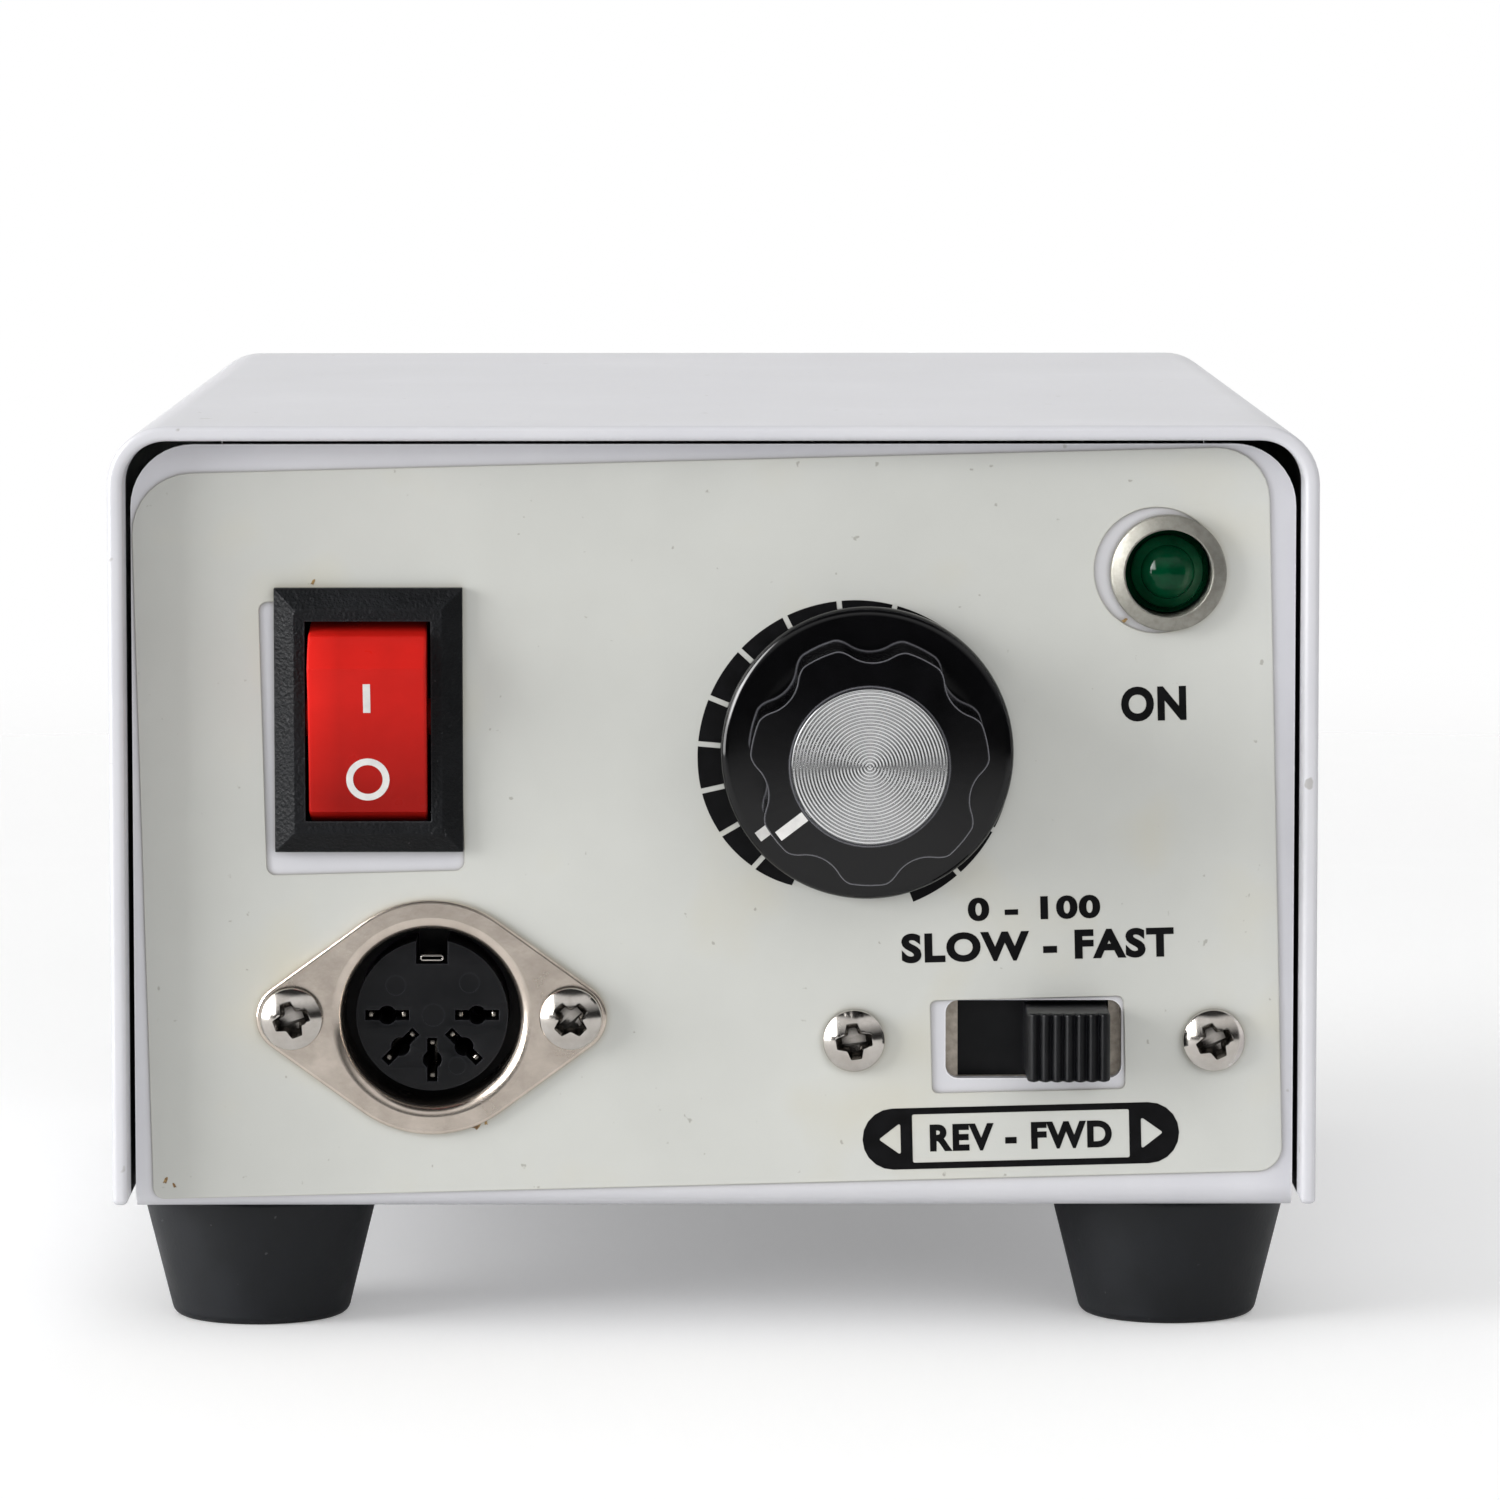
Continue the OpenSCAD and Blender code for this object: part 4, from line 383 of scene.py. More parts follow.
def surface(name, tones, patch, rough, grain, depth, edge_wear_and_sheen=None, specks=None, stain=None, grime_and_nook_shade=None, fades=(),
            **fixed):
    """Makes a surface: two tones in patches, a range of roughness, a raised grain, and where they are asked for edges
    tinted for wear and as painted highlights, specks of dirt, stains, painted shade in corners tinted like dirt, and
    tones that fade from point to point to paint light and shade. Sizes are in mm."""
    material = bpy.data.materials.new(name)
    material.use_nodes = True
    tree = material.node_tree
    shader = tree.nodes["Principled BSDF"]
    for key, value in fixed.items():
        shader.inputs[key.replace("_", " ")].default_value = value
    place = add(tree, "TexCoord").outputs["Object"]
    cloud = add(tree, "TexNoise", Vector=place, Scale=1 / (patch * MM), Detail=4.0, Roughness=0.6)
    colour = add(tree, "ValToRGB", Fac=cloud.outputs["Fac"],
                 stops=[(0.35, tones[0]), (0.65, tones[1])]).outputs["Color"]
    # Tones that fade along a line from one point to another, multiplied in: painted light and shade
    for start, end, stops in fades:
        run = Vector(end) - Vector(start)
        off = add(tree, "VectorMath", operation="SUBTRACT", in0=place, in1=Vector(start) * MM)
        share = add(tree, "VectorMath", operation="DOT_PRODUCT", in0=off.outputs["Vector"],
                    in1=run / (run.length_squared * MM))
        tint = add(tree, "ValToRGB", Fac=share.outputs["Value"], stops=stops)
        colour = add(tree, "Mix", data_type="RGBA", blend_type="MULTIPLY", in0=1.0, in6=colour,
                     in7=tint.outputs["Color"]).outputs[2]
    layers = []
    for spots, start, end in ((stain, 0.56, 0.78), (specks, 0.74, 0.78)):
        if spots:
            tint, size, most = spots
            noise = add(tree, "TexNoise", Vector=place, Scale=1 / (size * MM), Detail=2.0).outputs["Fac"]
            layers.append((tint, noise, start, end, most))
    # Edges found by the bevel's bend and tinted: wear, and on some surfaces a painted highlight
    if edge_wear_and_sheen:
        bent = add(tree, "Bevel", samples=6, Radius=0.25 * MM).outputs["Normal"]
        flat = add(tree, "VectorMath", operation="DOT_PRODUCT", in0=bent,
                   in1=add(tree, "NewGeometry").outputs["Normal"]).outputs["Value"]
        layers.append((edge_wear_and_sheen, flat, 0.99, 0.85, 0.8))
    # Ambient occlusion darkens nooks and the seams where parts meet: painted shade, tinted like dirt
    if grime_and_nook_shade:
        tint, size, most = grime_and_nook_shade
        nook = add(tree, "AmbientOcclusion", samples=6, Distance=size * MM).outputs["AO"]
        layers.append((tint, nook, 0.92, 0.50, most))
    for tint, measure, start, end, most in layers:
        colour = add(tree, "Mix", data_type="RGBA", in0=ramp(tree, measure, start, end, 0.0, most), in6=colour,
                     in7=tint).outputs[2]
    tree.links.new(colour, shader.inputs["Base Color"])
    tree.links.new(ramp(tree, cloud.outputs["Fac"], 0.3, 0.7, *rough), shader.inputs["Roughness"])
    fine = add(tree, "TexNoise", Vector=place, Scale=1 / (grain * MM), Detail=2.0)
    relief = add(tree, "Bump", Height=fine.outputs["Fac"], Strength=1.0, Distance=depth * MM)
    tree.links.new(relief.outputs["Normal"], shader.inputs["Normal"])
    return material


# Stove enamel sprayed on steel: a cool white, faintly rippled like orange peel, a little dusty; its edges painted
# lighter as a highlight and its nooks painted darker as shade
enamel = surface("stoved_white_enamel", ("#D0D0D5", "#D4D4D8"), 16, (0.30, 0.40), 1.1, 0.010,
                 edge_wear_and_sheen="#F2F2F5", specks=("#8E8A80", 1.6, 0.5), grime_and_nook_shade=("#8B867C", 0.5, 0.6), IOR=1.5)
# Painted shade on the inside of the cover: a dark matt coat that stands for the shade seen through the gaps at the
# front
inner_shade = surface("dark_inner_shade_coat", ("#1D1D1F", "#262628"), 6, (0.6, 0.75), 0.5, 0.006, IOR=1.5)
# Vinyl film printed by screen: a flat warm grey, satin, with yellowish glue stains and fine dirt; painted shade
# darkens its left side and rims the parts that stand on it, tinted like dirt
label_vinyl = surface("printed_vinyl_film", ("#C6C7C2", "#CCCDC8"), 22, (0.40, 0.52), 0.5, 0.003,
                      edge_wear_and_sheen="#C4C2B8", specks=("#7D786C", 0.9, 0.5), stain=("#C6BD9E", 11, 0.30),
                      grime_and_nook_shade=("#A79E86", 0.5, 0.3), IOR=1.53,
                      fades=[((-46, 0, 40), (-22, 0, 40), [(0, "#EDEDED"), (1, "#FFFFFF")])])
# Screen ink: a dense black, a little matt, uneven where the mesh lifted
screen_ink = surface("black_screen_ink", ("#060607", "#0C0C0E"), 1.2, (0.42, 0.58), 0.3, 0.004, IOR=1.5,
                     Specular_IOR_Level=0.12)
# Pad-printed white ink on a moulding: chalky and slightly thin
pad_ink = surface("white_pad_ink", ("#DEDDDA", "#CFCECC"), 1.0, (0.45, 0.55), 0.3, 0.003, IOR=1.5)
# Moulded nylon, coloured right through: a hot red, its upper end and left side painted lighter and its lower part
# painted darker, as painted light and shade
red_nylon = surface("red_moulded_nylon", ("#F1261E", "#E6231B"), 5, (0.26, 0.34), 0.7, 0.003,
                    fades=[((-32.2, 0, 55.7), (-32.2, 0, 43.8), [(0, "#FFFFFF"), (0.34, "#F8F8F8"), (1, "#B8B8B8")]),
                           ((-32.2, 0, 50), (-29.7, 0, 50), [(0, "#FFFFFF"), (1, "#DADADA")])],
                    IOR=1.53, Specular_IOR_Level=0.12)
# ABS from a spark-eroded mould: black with a grain of about a quarter millimetre
grained_abs = surface("grained_black_abs", ("#0E0F11", "#141517"), 3, (0.42, 0.56), 0.28, 0.12,
                      edge_wear_and_sheen="#3C3D40", specks=("#5A5A5C", 0.6, 0.5), IOR=1.52, Specular_IOR_Level=0.14)
# ABS from a plain mould: charcoal, satin, with the faint flow of the melt
plain_abs = surface("plain_black_abs", ("#0D0E10", "#151517"), 2.5, (0.34, 0.46), 0.5, 0.006,
                    edge_wear_and_sheen="#2B2C30", IOR=1.52, Specular_IOR_Level=0.18)
# Phenolic pressed in a polished mould: a deep gloss black, its edges painted with pale lines as highlights
knob_phenolic = surface("polished_black_phenolic", ("#060607", "#09090B"), 4, (0.08, 0.14), 0.8, 0.001,
                        edge_wear_and_sheen="#86868C", IOR=1.5, Specular_IOR_Level=0.39)
# Aluminium faced on a lathe: bright and clean, its turning rings cut in the cap itself
faced_aluminium = surface("faced_aluminium", ("#EBECED", "#E1E2E3"), 3, (0.12, 0.20), 0.4, 0.001, Metallic=1.0)
# Nickel plate on pressed brass: warm and satin, with soft blotches
nickel_plate = surface("nickel_plated_brass", ("#E0D4C8", "#D0C4B8"), 2.5, (0.20, 0.28), 0.5, 0.003, Metallic=1.0)
# Polished nickel on screws: bright, nearly a mirror, with painted shade darkening the cross recesses and the nooks
# round the heads
screw_nickel = surface("polished_nickel_screw", ("#D6D1CB", "#C6C0B9"), 1.5, (0.10, 0.17), 0.3, 0.002,
                       grime_and_nook_shade=("#15100C", 1.2, 0.92), Metallic=1.0)
# Brushed nickel: grey and satin, finely mottled
satin_nickel = surface("brushed_nickel", ("#A5A39B", "#96948C"), 0.8, (0.46, 0.58), 0.25, 0.004, Metallic=1.0)
# Tinned spring bronze: grey, dull with handling, painted darker as shade where it sits deep in the socket's slots
tinned_bronze = surface("tinned_spring_bronze", ("#CFC8BE", "#B5ADA2"), 0.8, (0.24, 0.36), 0.3, 0.003,
                        grime_and_nook_shade=("#0E0C0A", 1.0, 0.6), Metallic=1.0)
# Zinc plate on steel: grey and a little cloudy
zinc_steel = surface("zinc_plated_steel", ("#B4B2B2", "#9C9999"), 1.6, (0.32, 0.46), 0.3, 0.004, Metallic=1.0)
# Tinned sheet steel, handled and a little stained: a warm dull grey
stained_tinplate = surface("stained_tinplate", ("#BDB4A8", "#A2998D"), 0.7, (0.45, 0.60), 0.25, 0.004,
                           specks=("#6F675C", 0.5, 0.5), Metallic=0.5)
# Dried contact glue: amber to brown
dried_glue = surface("dried_contact_glue", ("#A88A56", "#5E3E26"), 0.4, (0.35, 0.50), 0.2, 0.006, IOR=1.5)
# Moulded rubber: charcoal, dull, with dust in its grain
foot_rubber = surface("moulded_charcoal_rubber", ("#0D0F12", "#121418"), 4, (0.44, 0.56), 0.3, 0.012,
                      edge_wear_and_sheen="#2C2D31", specks=("#4E4E50", 0.8, 0.5), IOR=1.52, Specular_IOR_Level=0.32)
# Tinted acrylic: a dark glassy green
green_acrylic = surface("dark_green_acrylic", ("#00331D", "#004126"), 2, (0.04, 0.08), 0.6, 0.001,
                        IOR=1.49, Specular_IOR_Level=0.2)

FINISHES = {
    "case_paint": enamel,
    "label_film": label_vinyl,
    "foot_rubber": foot_rubber,
    "black_moulding": plain_abs,
    "rocker_red": red_nylon,
    "knob_black": knob_phenolic,
    "spun_aluminium": faced_aluminium,
    "zinc_steel": zinc_steel,
    "nickel": nickel_plate,
    "lens_green": green_acrylic,
    # Natural nylon: milky and smooth
    "nylon": surface("natural_nylon", ("#D9D4C4", "#E0DBCD"), 3, (0.34, 0.42), 0.5, 0.003, IOR=1.53),
    # Hard drawn spring wire: dark bright steel
    "spring_steel": surface("drawn_spring_steel", ("#9A9A9E", "#86868A"), 1, (0.24, 0.34), 0.2, 0.002, Metallic=1.0),
    # Stamped brass: yellow, a little dulled
    "contact_brass": surface("stamped_brass", ("#C7A45A", "#B8934A"), 1.5, (0.24, 0.36), 0.2, 0.002, Metallic=1.0),
    # Blown glass with a clear gloss
    "lamp_glass": surface("clear_blown_glass", ("#DDE4E0", "#E6EBE8"), 2, (0.04, 0.08), 0.8, 0.001,
                          IOR=1.5, Transmission_Weight=0.7),
    # Paper laminate punched from sheet: brown, matt, mottled
    "laminate": surface("punched_paper_laminate", ("#6B4A2B", "#7C5834"), 1.2, (0.46, 0.60), 0.25, 0.006, IOR=1.55),
    # Stacked silicon steel: dark blue-grey, a little rusty at its edges
    "core_steel": surface("stacked_core_steel", ("#55565B", "#696A70"), 1.4, (0.42, 0.56), 0.3, 0.010,
                          edge_wear_and_sheen="#7D6A58", Metallic=0.8),
    # Enamelled copper wire: a clear reddish brown
    "copper_wire": surface("enamelled_copper_wire", ("#8E4A24", "#A65C30"), 2, (0.20, 0.30), 0.3, 0.003,
                           Metallic=1.0, Coat_Weight=0.5),
    # Solder mask on glass laminate: deep green, half glossy
    "board_green": surface("green_solder_mask", ("#14533A", "#1A6246"), 3, (0.28, 0.38), 0.5, 0.008, IOR=1.5),
    # Shrunk vinyl sleeve: smooth dark blue
    "capacitor_sleeve": surface("shrunk_blue_sleeve", ("#27365C", "#2E4070"), 3, (0.28, 0.36), 0.6, 0.003, IOR=1.53),
    # Soft rubber for the cord's bush: black and matt
    "bush_rubber": surface("soft_black_rubber", ("#1A1A1C", "#232325"), 2.5, (0.52, 0.66), 0.3, 0.010,
                           edge_wear_and_sheen="#343437", IOR=1.52),
}


# Every node that stays as it was packed takes the finish of its slot
for row in frame["record"]["subparts"]:
    shown = frame["nodes"][row["node"]]
    finish = stained_tinplate if row["node"] == "slide_frame" else FINISHES[row["material_slot"]]
    shown.data.materials.clear()
    shown.data.materials.append(finish)


# The case

def make_cover():
    """Bends a flat sheet down at both sides."""
    cover = blank("cover_sheet", (CASE_W, 130, 1), (0, 1.6, CASE_TOP))
    side = CASE_W / 2 - 1
    pick(cover, "EDGE", lambda at, way: abs(at.x) > side)
    push(z=-62.2)
    pick(cover, "EDGE", lambda at, way: abs(at.x) > side and at.z > CASE_TOP - 0.5 and abs(way.y) > 0.9)
    bpy.ops.mesh.bevel(offset=4.7 * MM, segments=12, affect="EDGES")
    close_up(cover)
    score(cover, -59.2, 62.4)
    work(cover, "SOLIDIFY", thickness=SHEET * MM, offset=-1, use_even_offset=True)
    ease_edges(cover, 0.42, 3, 60)
    done(cover, enamel, "case", "case_paint", "cover")
    # The dark inner coat, painted shade, starts at the two scored lines and lies on the faces that look inwards
    cover.data.materials.append(inner_shade)
    pick(cover, "FACE", lambda at, way: at.z > 12 and -59 < at.y < 62 and way.x * at.x + way.z * 40 < -1)
    cover.active_material_index = 1
    bpy.ops.object.material_slot_assign()
    clear_bench()


def make_chassis():
    """Folds the base, front panel, rear lip and side flanges from one sheet and punches the panel."""
    chassis = blank("chassis_sheet", (92.8, 120.8, 1), (0, 1.0, BASE_Z))
    score(chassis, -51.4, 54.6)
    pick(chassis, "EDGE", lambda at, way: at.y < -59)
    push(z=61.35)
    pick(chassis, "EDGE", lambda at, way: at.y > 61)
    push(z=6.0)
    pick(chassis, "EDGE", lambda at, way: abs(at.x) > 46 and abs(at.y - 1.6) < 40 and at.z < 11)
    push(z=14.0)
    pick(chassis, "VERT", lambda at, way: at.z > 71)
    bpy.ops.mesh.bevel(offset=5.0 * MM, segments=10, affect="VERTICES")
    pick(chassis, "EDGE", lambda at, way: (at.y < -59 or at.y > 61) and at.z < 11 and abs(way.x) > 0.9)
    bpy.ops.mesh.bevel(offset=1.8 * MM, segments=6, affect="EDGES")
    close_up(chassis)
    work(chassis, "SOLIDIFY", thickness=SHEET * MM, offset=-1, use_even_offset=True)
    holes = [box_line(13.0, 19.1, 0.2, *ROCKER), ring_line(4.05, *KNOB), ring_line(7.85, *SOCKET),
             box_line(14.1, 6.3, 1.0, *SLIDE), ring_line(4.075, *LAMP)]
    combine(chassis, [seat(cut_sheet("punch", [hole], 8), front(0, 0, -4)) for hole in holes])
    ease_edges(chassis, 0.16, 2, 60)
    done(chassis, enamel, "case", "case_paint", "chassis")


def make_rear_panel():
    """Cuts the rear plate with its holes and cooling slots."""
    half, top = 46.7, 72.2
    loops = [eased([(half, BASE_Z), (half, top, 3.6), (-half, top, 3.6), (-half, BASE_Z)], steps=8)]
    loops += [ring_line(r, -x, z) for r, (x, z) in ((5.6, CORD_BUSH), (6.1, FUSE), (4.85, FOOT_JACK))]
    loops += [box_line(2.0, 16.0, 0.98, 26 + (k - 3.5) * 4.0, 54.5) for k in range(8)]
    plate = seat(cut_sheet("rear_plate", loops, SHEET, 0.14), rear(0, 0, -SHEET))
    done(plate, enamel, "case", "case_paint", "rear_panel")


def make_feet():
    """Moulds one tapered foot and sets it under each corner."""
    foot = turned("foot", [(1.6, BASE_Z), (9.7, BASE_Z, 0.45), (7.1, 0, 0.9), (4.0, 0, 0.3), (4.0, 6.5, 0.4),
                           (1.6, 6.5), (1.6, BASE_Z)])
    for row, y in (("front", -46.9), ("rear", 50.1)):
        for side, x in (("left", -37.1), ("right", 37.1)):
            node = f"foot_{row}_{side}"
            piece = twin(foot, shift(x, y))
            piece.name = node + "_rubber"
            done(piece, foot_rubber, "case", "foot_rubber", node)
    bpy.data.objects.remove(foot)


# Screws

def pan_screw(name, shank, head, high, long):
    """Turns a pan-head screw and strikes a cross recess in it."""
    rise = high / 2
    dome = (head * head / 4 + rise * rise) / (2 * rise)
    arc = [(head / 2 * k / 8, high - dome + math.sqrt(dome * dome - (head / 2 * k / 8) ** 2))
           for k in range(7, -1, -1)]
    screw = turned(name, [(0, -long), (shank / 2, -long, 0.2), (shank / 2, 0), (head / 2, 0, 0.12),
                          (head / 2, high - rise, 0.25)] + arc, 64, 4)
    a, b, c = 0.35 * head, 0.105 * head, 0.155 * head
    arms = [(a, -b, 0.12), (a, b, 0.12), (c, c, 0.2)]
    cross = [(*swung(x, y, q), r) for q in (0, QUARTER, math.pi, -QUARTER) for x, y, r in arms]
    punch = seat(cut_sheet("punch", [eased(cross, steps=3)], high * 1.2), shift(z=high * 0.1))
    pick(punch, "VERT", lambda at, way: at.z < high * 0.12)
    stretch(0.55, 0.55)
    combine(screw, [punch])
    return ease_edges(screw, 0.05, 2, 40)


def make_screws():
    """Sets the panel's four screws with the socket's nuts, and the six screws of the case."""
    small = pan_screw("small_screw", 2.6, 5.0, 1.7, 5.3)
    nut = cut_sheet("nut", [hex_line(2.887, 0.15), ring_line(1.33, n=40)], 2.0, 0.12)
    places = [(SOCKET[0] + off, SOCKET[1], FILM + FLANGE, turn)
              for off, turn in ((-SOCKET_SCREW, 20), (SOCKET_SCREW, 45))]
    places += [(SLIDE[0] + off, SLIDE[1], FILM, turn) for off, turn in ((-SLIDE_SCREW, 8), (SLIDE_SCREW, 25))]
    panel = [twin(small, front(x, z, out, math.radians(turn))) for x, z, out, turn in places]
    panel += [twin(nut, front(x, z, -3.2)) for x, z, _, _ in places[:2]]
    done(joined("panel_screw_set", panel), screw_nickel, "case", "nickel", "panel_screws")
    large = pan_screw("case_screw", 3.0, 5.6, 1.9, 3.8)
    case = [twin(large, rear(x, 14.4, 0, math.radians(30 + x))) for x in (-22, 22)]
    for side in (-1, 1):
        for y in (-39.4, 42.6):
            case.append(twin(large, shift(side * CASE_W / 2, y, 18.2) @ spun(side * QUARTER, "Y") @ spun(y, "Z")))
    done(joined("case_screw_set", case), zinc_steel, "case", "zinc_steel", "case_screws")
    for pattern in (small, nut, large):
        bpy.data.objects.remove(pattern)


# The label film and its printing

def make_film():
    """Cuts the film, with windows that sit a little off their marks as it was stuck on askew."""
    centre = Vector((-0.4, 41.45))
    spin = Matrix.Rotation(-FILM_TILT, 2)

    def on_film(x, z):
        """A place on the panel as the film has it."""
        return spin @ (Vector((x, z)) - centre)

    border = eased([(45.3, 29.1, 4.2), (-45.3, 29.1, 4.8), (-45.3, -29.1, 0.9), (45.3, -29.1, 2.0)], steps=8)
    loops = [border, box_line(15.8, 21.9, 0.7, -27.5, 7.75), box_line(15.5, 7.5, 0.5, 25.1, -18.4),
             ring_line(5.025, 36.2, 19.45), ring_line(4.05, *on_film(*KNOB)), ring_line(7.85, *on_film(*SOCKET))]
    film = seat(cut_sheet("label_film_sheet", loops, FILM, 0.07), front(*centre, 0, FILM_TILT))
    done(film, label_vinyl, "case", "label_film", "front_film")


def printed(name, loops, x, z):
    """Prints closed lines on the film."""
    mark = seat(cut_sheet(name, loops, INK), front(x, z, FILM, FILM_TILT))
    done(mark, screen_ink, "case", "label_film")


def printed_word(name, word, wide, tall, x, z):
    """Prints a word on the film, fitted to a width and a height."""
    clear_bench()
    bpy.ops.object.text_add()
    text = bpy.context.object
    text.name = name
    text.data.body = word
    text.data.offset = 0.045
    text.data.space_character = 1.12
    text.data.resolution_u = 6
    bpy.ops.object.convert(target="MESH")
    text = bpy.context.object
    spots = [v.co for v in text.data.vertices]
    low = [min(c[i] for c in spots) for i in (0, 1)]
    high = [max(c[i] for c in spots) for i in (0, 1)]
    scale = Matrix.Diagonal((wide * MM / (high[0] - low[0]), tall * MM / (high[1] - low[1]), 1, 1))
    seat(text, scale @ Matrix.Translation((-(low[0] + high[0]) / 2, -(low[1] + high[1]) / 2, 0)))
    close_up(text)
    work(text, "SOLIDIFY", thickness=INK * MM, offset=1)
    done(seat(text, front(x, z, FILM + 0.001, FILM_TILT)), screen_ink, "case", "label_film")


def make_printing():
    """Prints the speed scale, the plain legends and the direction mark."""
    # The scale's marks stand a little closer on its slow side, where the band also narrows
    edges = [243.7 - 17.5 * k for k in range(6)] + [156.2 - 20.6 * k for k in range(1, 12)]
    segments = []
    for first, last in zip(edges, edges[1:]):
        block = []
        for t in range(18):
            share = t / 8 if t < 9 else (17 - t) / 8
            angle = math.radians(first + (last - first) * share)
            r = 12.55 - 1.1 * max(0, (math.degrees(angle) - 184) / 60) ** 2 if t < 9 else 10.0
            angle -= (0.5 - share) * 0.42 / r
            block.append(swung(r, 0, angle))
        segments.append(block)
    printed("speed_scale_print", segments, 11.25, 46.85)
    printed_word("lamp_word_print", "ON", 5.2, 2.8, 35.1, 51.1)
    printed_word("range_word_print", "0 - 100", 10.6, 1.9, 25.6, 34.7)
    printed_word("limits_word_print", "SLOW - FAST", 21.8, 2.4, 25.9, 31.7)
    arrows = [eased([(s * 11.4, 0, 0.12), (s * 9.65, 1.3, 0.12), (s * 9.65, -1.3, 0.12)]) for s in (-1, 1)]
    printed("direction_mark_print", [box_line(25.4, 4.95, 2.45), box_line(17.4, 3.9, 0.15)] + arrows, 24.6, 16.3)
    printed_word("direction_word_print", "REV - FWD", 14.6, 2.2, 24.6, 16.3)


def make_glue_marks():
    """Leaves a few dried specks of glue where the film was pressed down."""
    marks = []
    for x, z, size, turn in ((32.75, 57.75, 0.15, 0.3), (-44.0, 12.75, 0.17, 1.0), (-43.3, 12.35, 0.13, 2.2),
                             (-19.0, 17.2, 0.28, 0.6), (-18.3, 17.45, 0.16, 1.8), (-31.9, 60.85, 0.15, 0.9)):
        blot = []
        for a in [math.tau * t / 20 for t in range(20)]:
            wide, tall = (size * (1 + 0.35 * math.sin(lobes * a + turn)) for lobes in (3, 2))
            blot.append((wide * 1.5 * math.cos(a), tall * math.sin(a)))
        marks.append(seat(cut_sheet("glue_speck", [blot], 0.03), front(x, z, FILM, turn)))
    done(joined("glue_specks", marks), dried_glue, "case", "label_film")


# The power rocker

TILT = math.radians(13)
PIVOT_IN = 2.0
ROCKER_R, ROCKER_FACE, ROCKER_HALF = 8.5, 6.05, 7.876
DISH = 0.45
FACE_HALF = math.sqrt(ROCKER_R ** 2 - ROCKER_FACE ** 2)
DISH_R = (FACE_HALF ** 2 + DISH ** 2) / (2 * DISH)


def rocker_place():
    """The paddle's own place: X across, Y along its face and Z outwards from the pivot."""
    return shift(ROCKER[0], PANEL_Y + PIVOT_IN, ROCKER[1]) @ spun(TILT, "X") @ spun(QUARTER, "X")


def face_level(along):
    """How far the dished face stands from the pivot."""
    return ROCKER_FACE - DISH + DISH_R - math.sqrt(DISH_R ** 2 - along ** 2)


def make_rocker_housing():
    """Draws the sloped bezel up from a slab, sinks the cave in it and draws the body out behind."""
    tall, slope, ledge, deep = 21.1, 1.6, 0.9, 13.25
    mouth, cave = 15.95, 17.6
    housing = blank("rocker_bezel", (15.0, tall, 0.9), (0, 0, 0.70), bpy.ops.mesh.primitive_cube_add)
    pick(housing, "FACE", lambda at, way: way.z > 0.9)
    bpy.ops.mesh.inset(thickness=slope * MM)
    bpy.ops.transform.translate(value=(0, 0, 1.1 * MM))
    bpy.ops.mesh.inset(thickness=ledge * MM)
    stretch(1, mouth / (tall - 2 * (slope + ledge)))
    push(z=-0.6)
    push()
    stretch(1.02, cave / mouth, 1.65)
    push(z=-deep)
    pick(housing, "FACE", lambda at, way: way.z < -0.9 and 0.2 < at.z < 0.3)
    bpy.ops.mesh.inset(thickness=1.1 * MM)
    push(z=-deep)
    close_up(housing, merge=False)
    seat(housing, front(*ROCKER))
    ease_edges(housing, 0.2, 3, 25)
    pin = rod("pin", 1.55, -7, 7, 32)
    combine(housing, [seat(pin, front(*ROCKER, -PIVOT_IN) @ spun(QUARTER, "Y"))])
    done(housing, grained_abs, "case", "black_moulding", "rocker_housing")


def make_rocker_paddle():
    """Cuts the paddle's side shape across its width, adds its pivots and prints its marks."""
    side = [(y, face_level(y)) for y in [FACE_HALF * (1 - t / 10) for t in range(21)]]
    low = math.acos(ROCKER_HALF / ROCKER_R)
    high = math.atan2(ROCKER_FACE, FACE_HALF)
    end = arc_line(ROCKER_R, low, high - low, 10)[:-1]
    outline = side + [(-x, y) for x, y in reversed(end)] + [(-ROCKER_HALF, -1.2), (ROCKER_HALF, -1.2)] + end
    paddle = cut_sheet("rocker_key", [outline], 9.4, 0.22, 3)
    edgewise = Matrix(((0, 0, 1, 0), (1, 0, 0, 0), (0, 1, 0, 0), (0, 0, 0, 1)))
    seat(paddle, edgewise @ shift(z=-4.7))
    combine(paddle, [seat(rod("pin", 1.5, -6.3, 6.3, 32), spun(QUARTER, "Y"))], "UNION")
    done(seat(paddle, rocker_place()), red_nylon, "rocker", "rocker_red", "rocker_paddle")
    bar = [(y, face_level(y)) for y in (2.2, 3.0, 3.8, 4.65)]
    mark = strip("rocker_bar_mark", bar, 0.58, 0.05)
    seat(mark, rocker_place() @ spun(QUARTER, "Z"))
    done(mark, pad_ink, "rocker", "rocker_red")
    ring = cut_sheet("rocker_ring_mark", [ring_line(1.72), ring_line(1.18)], 0.06)
    below = 3.35
    seat(ring, rocker_place() @ shift(0, -below, face_level(below) - 0.02) @ spun(math.asin(-below / DISH_R), "X"))
    done(ring, pad_ink, "rocker", "rocker_red")


# The speed knob

POINTER = math.radians(217.5)


def fluted(r, count, depth, flute_r, n=420, soften=4):
    """Points of a round grip with hollow flutes between its lobes, the first lobe on X."""
    reach = r - depth + flute_r
    radii = []
    for k in range(n):
        off = (k / n * count % 1 - 0.5) * math.tau / count
        inside = flute_r ** 2 - (reach * math.sin(off)) ** 2
        radii.append(min(r, reach * math.cos(off) - math.sqrt(inside)) if inside > 0 else r)
    soft = [sum(radii[(k + j) % n] for j in range(-soften, soften + 1)) / (2 * soften + 1) for k in range(n)]
    return [swung(q, 0, math.tau * k / n) for k, q in enumerate(soft)]


def crown(r):
    """How high the knob's face stands, which falls gently to its edge."""
    return 12.89 - 0.05 * (r - 6)


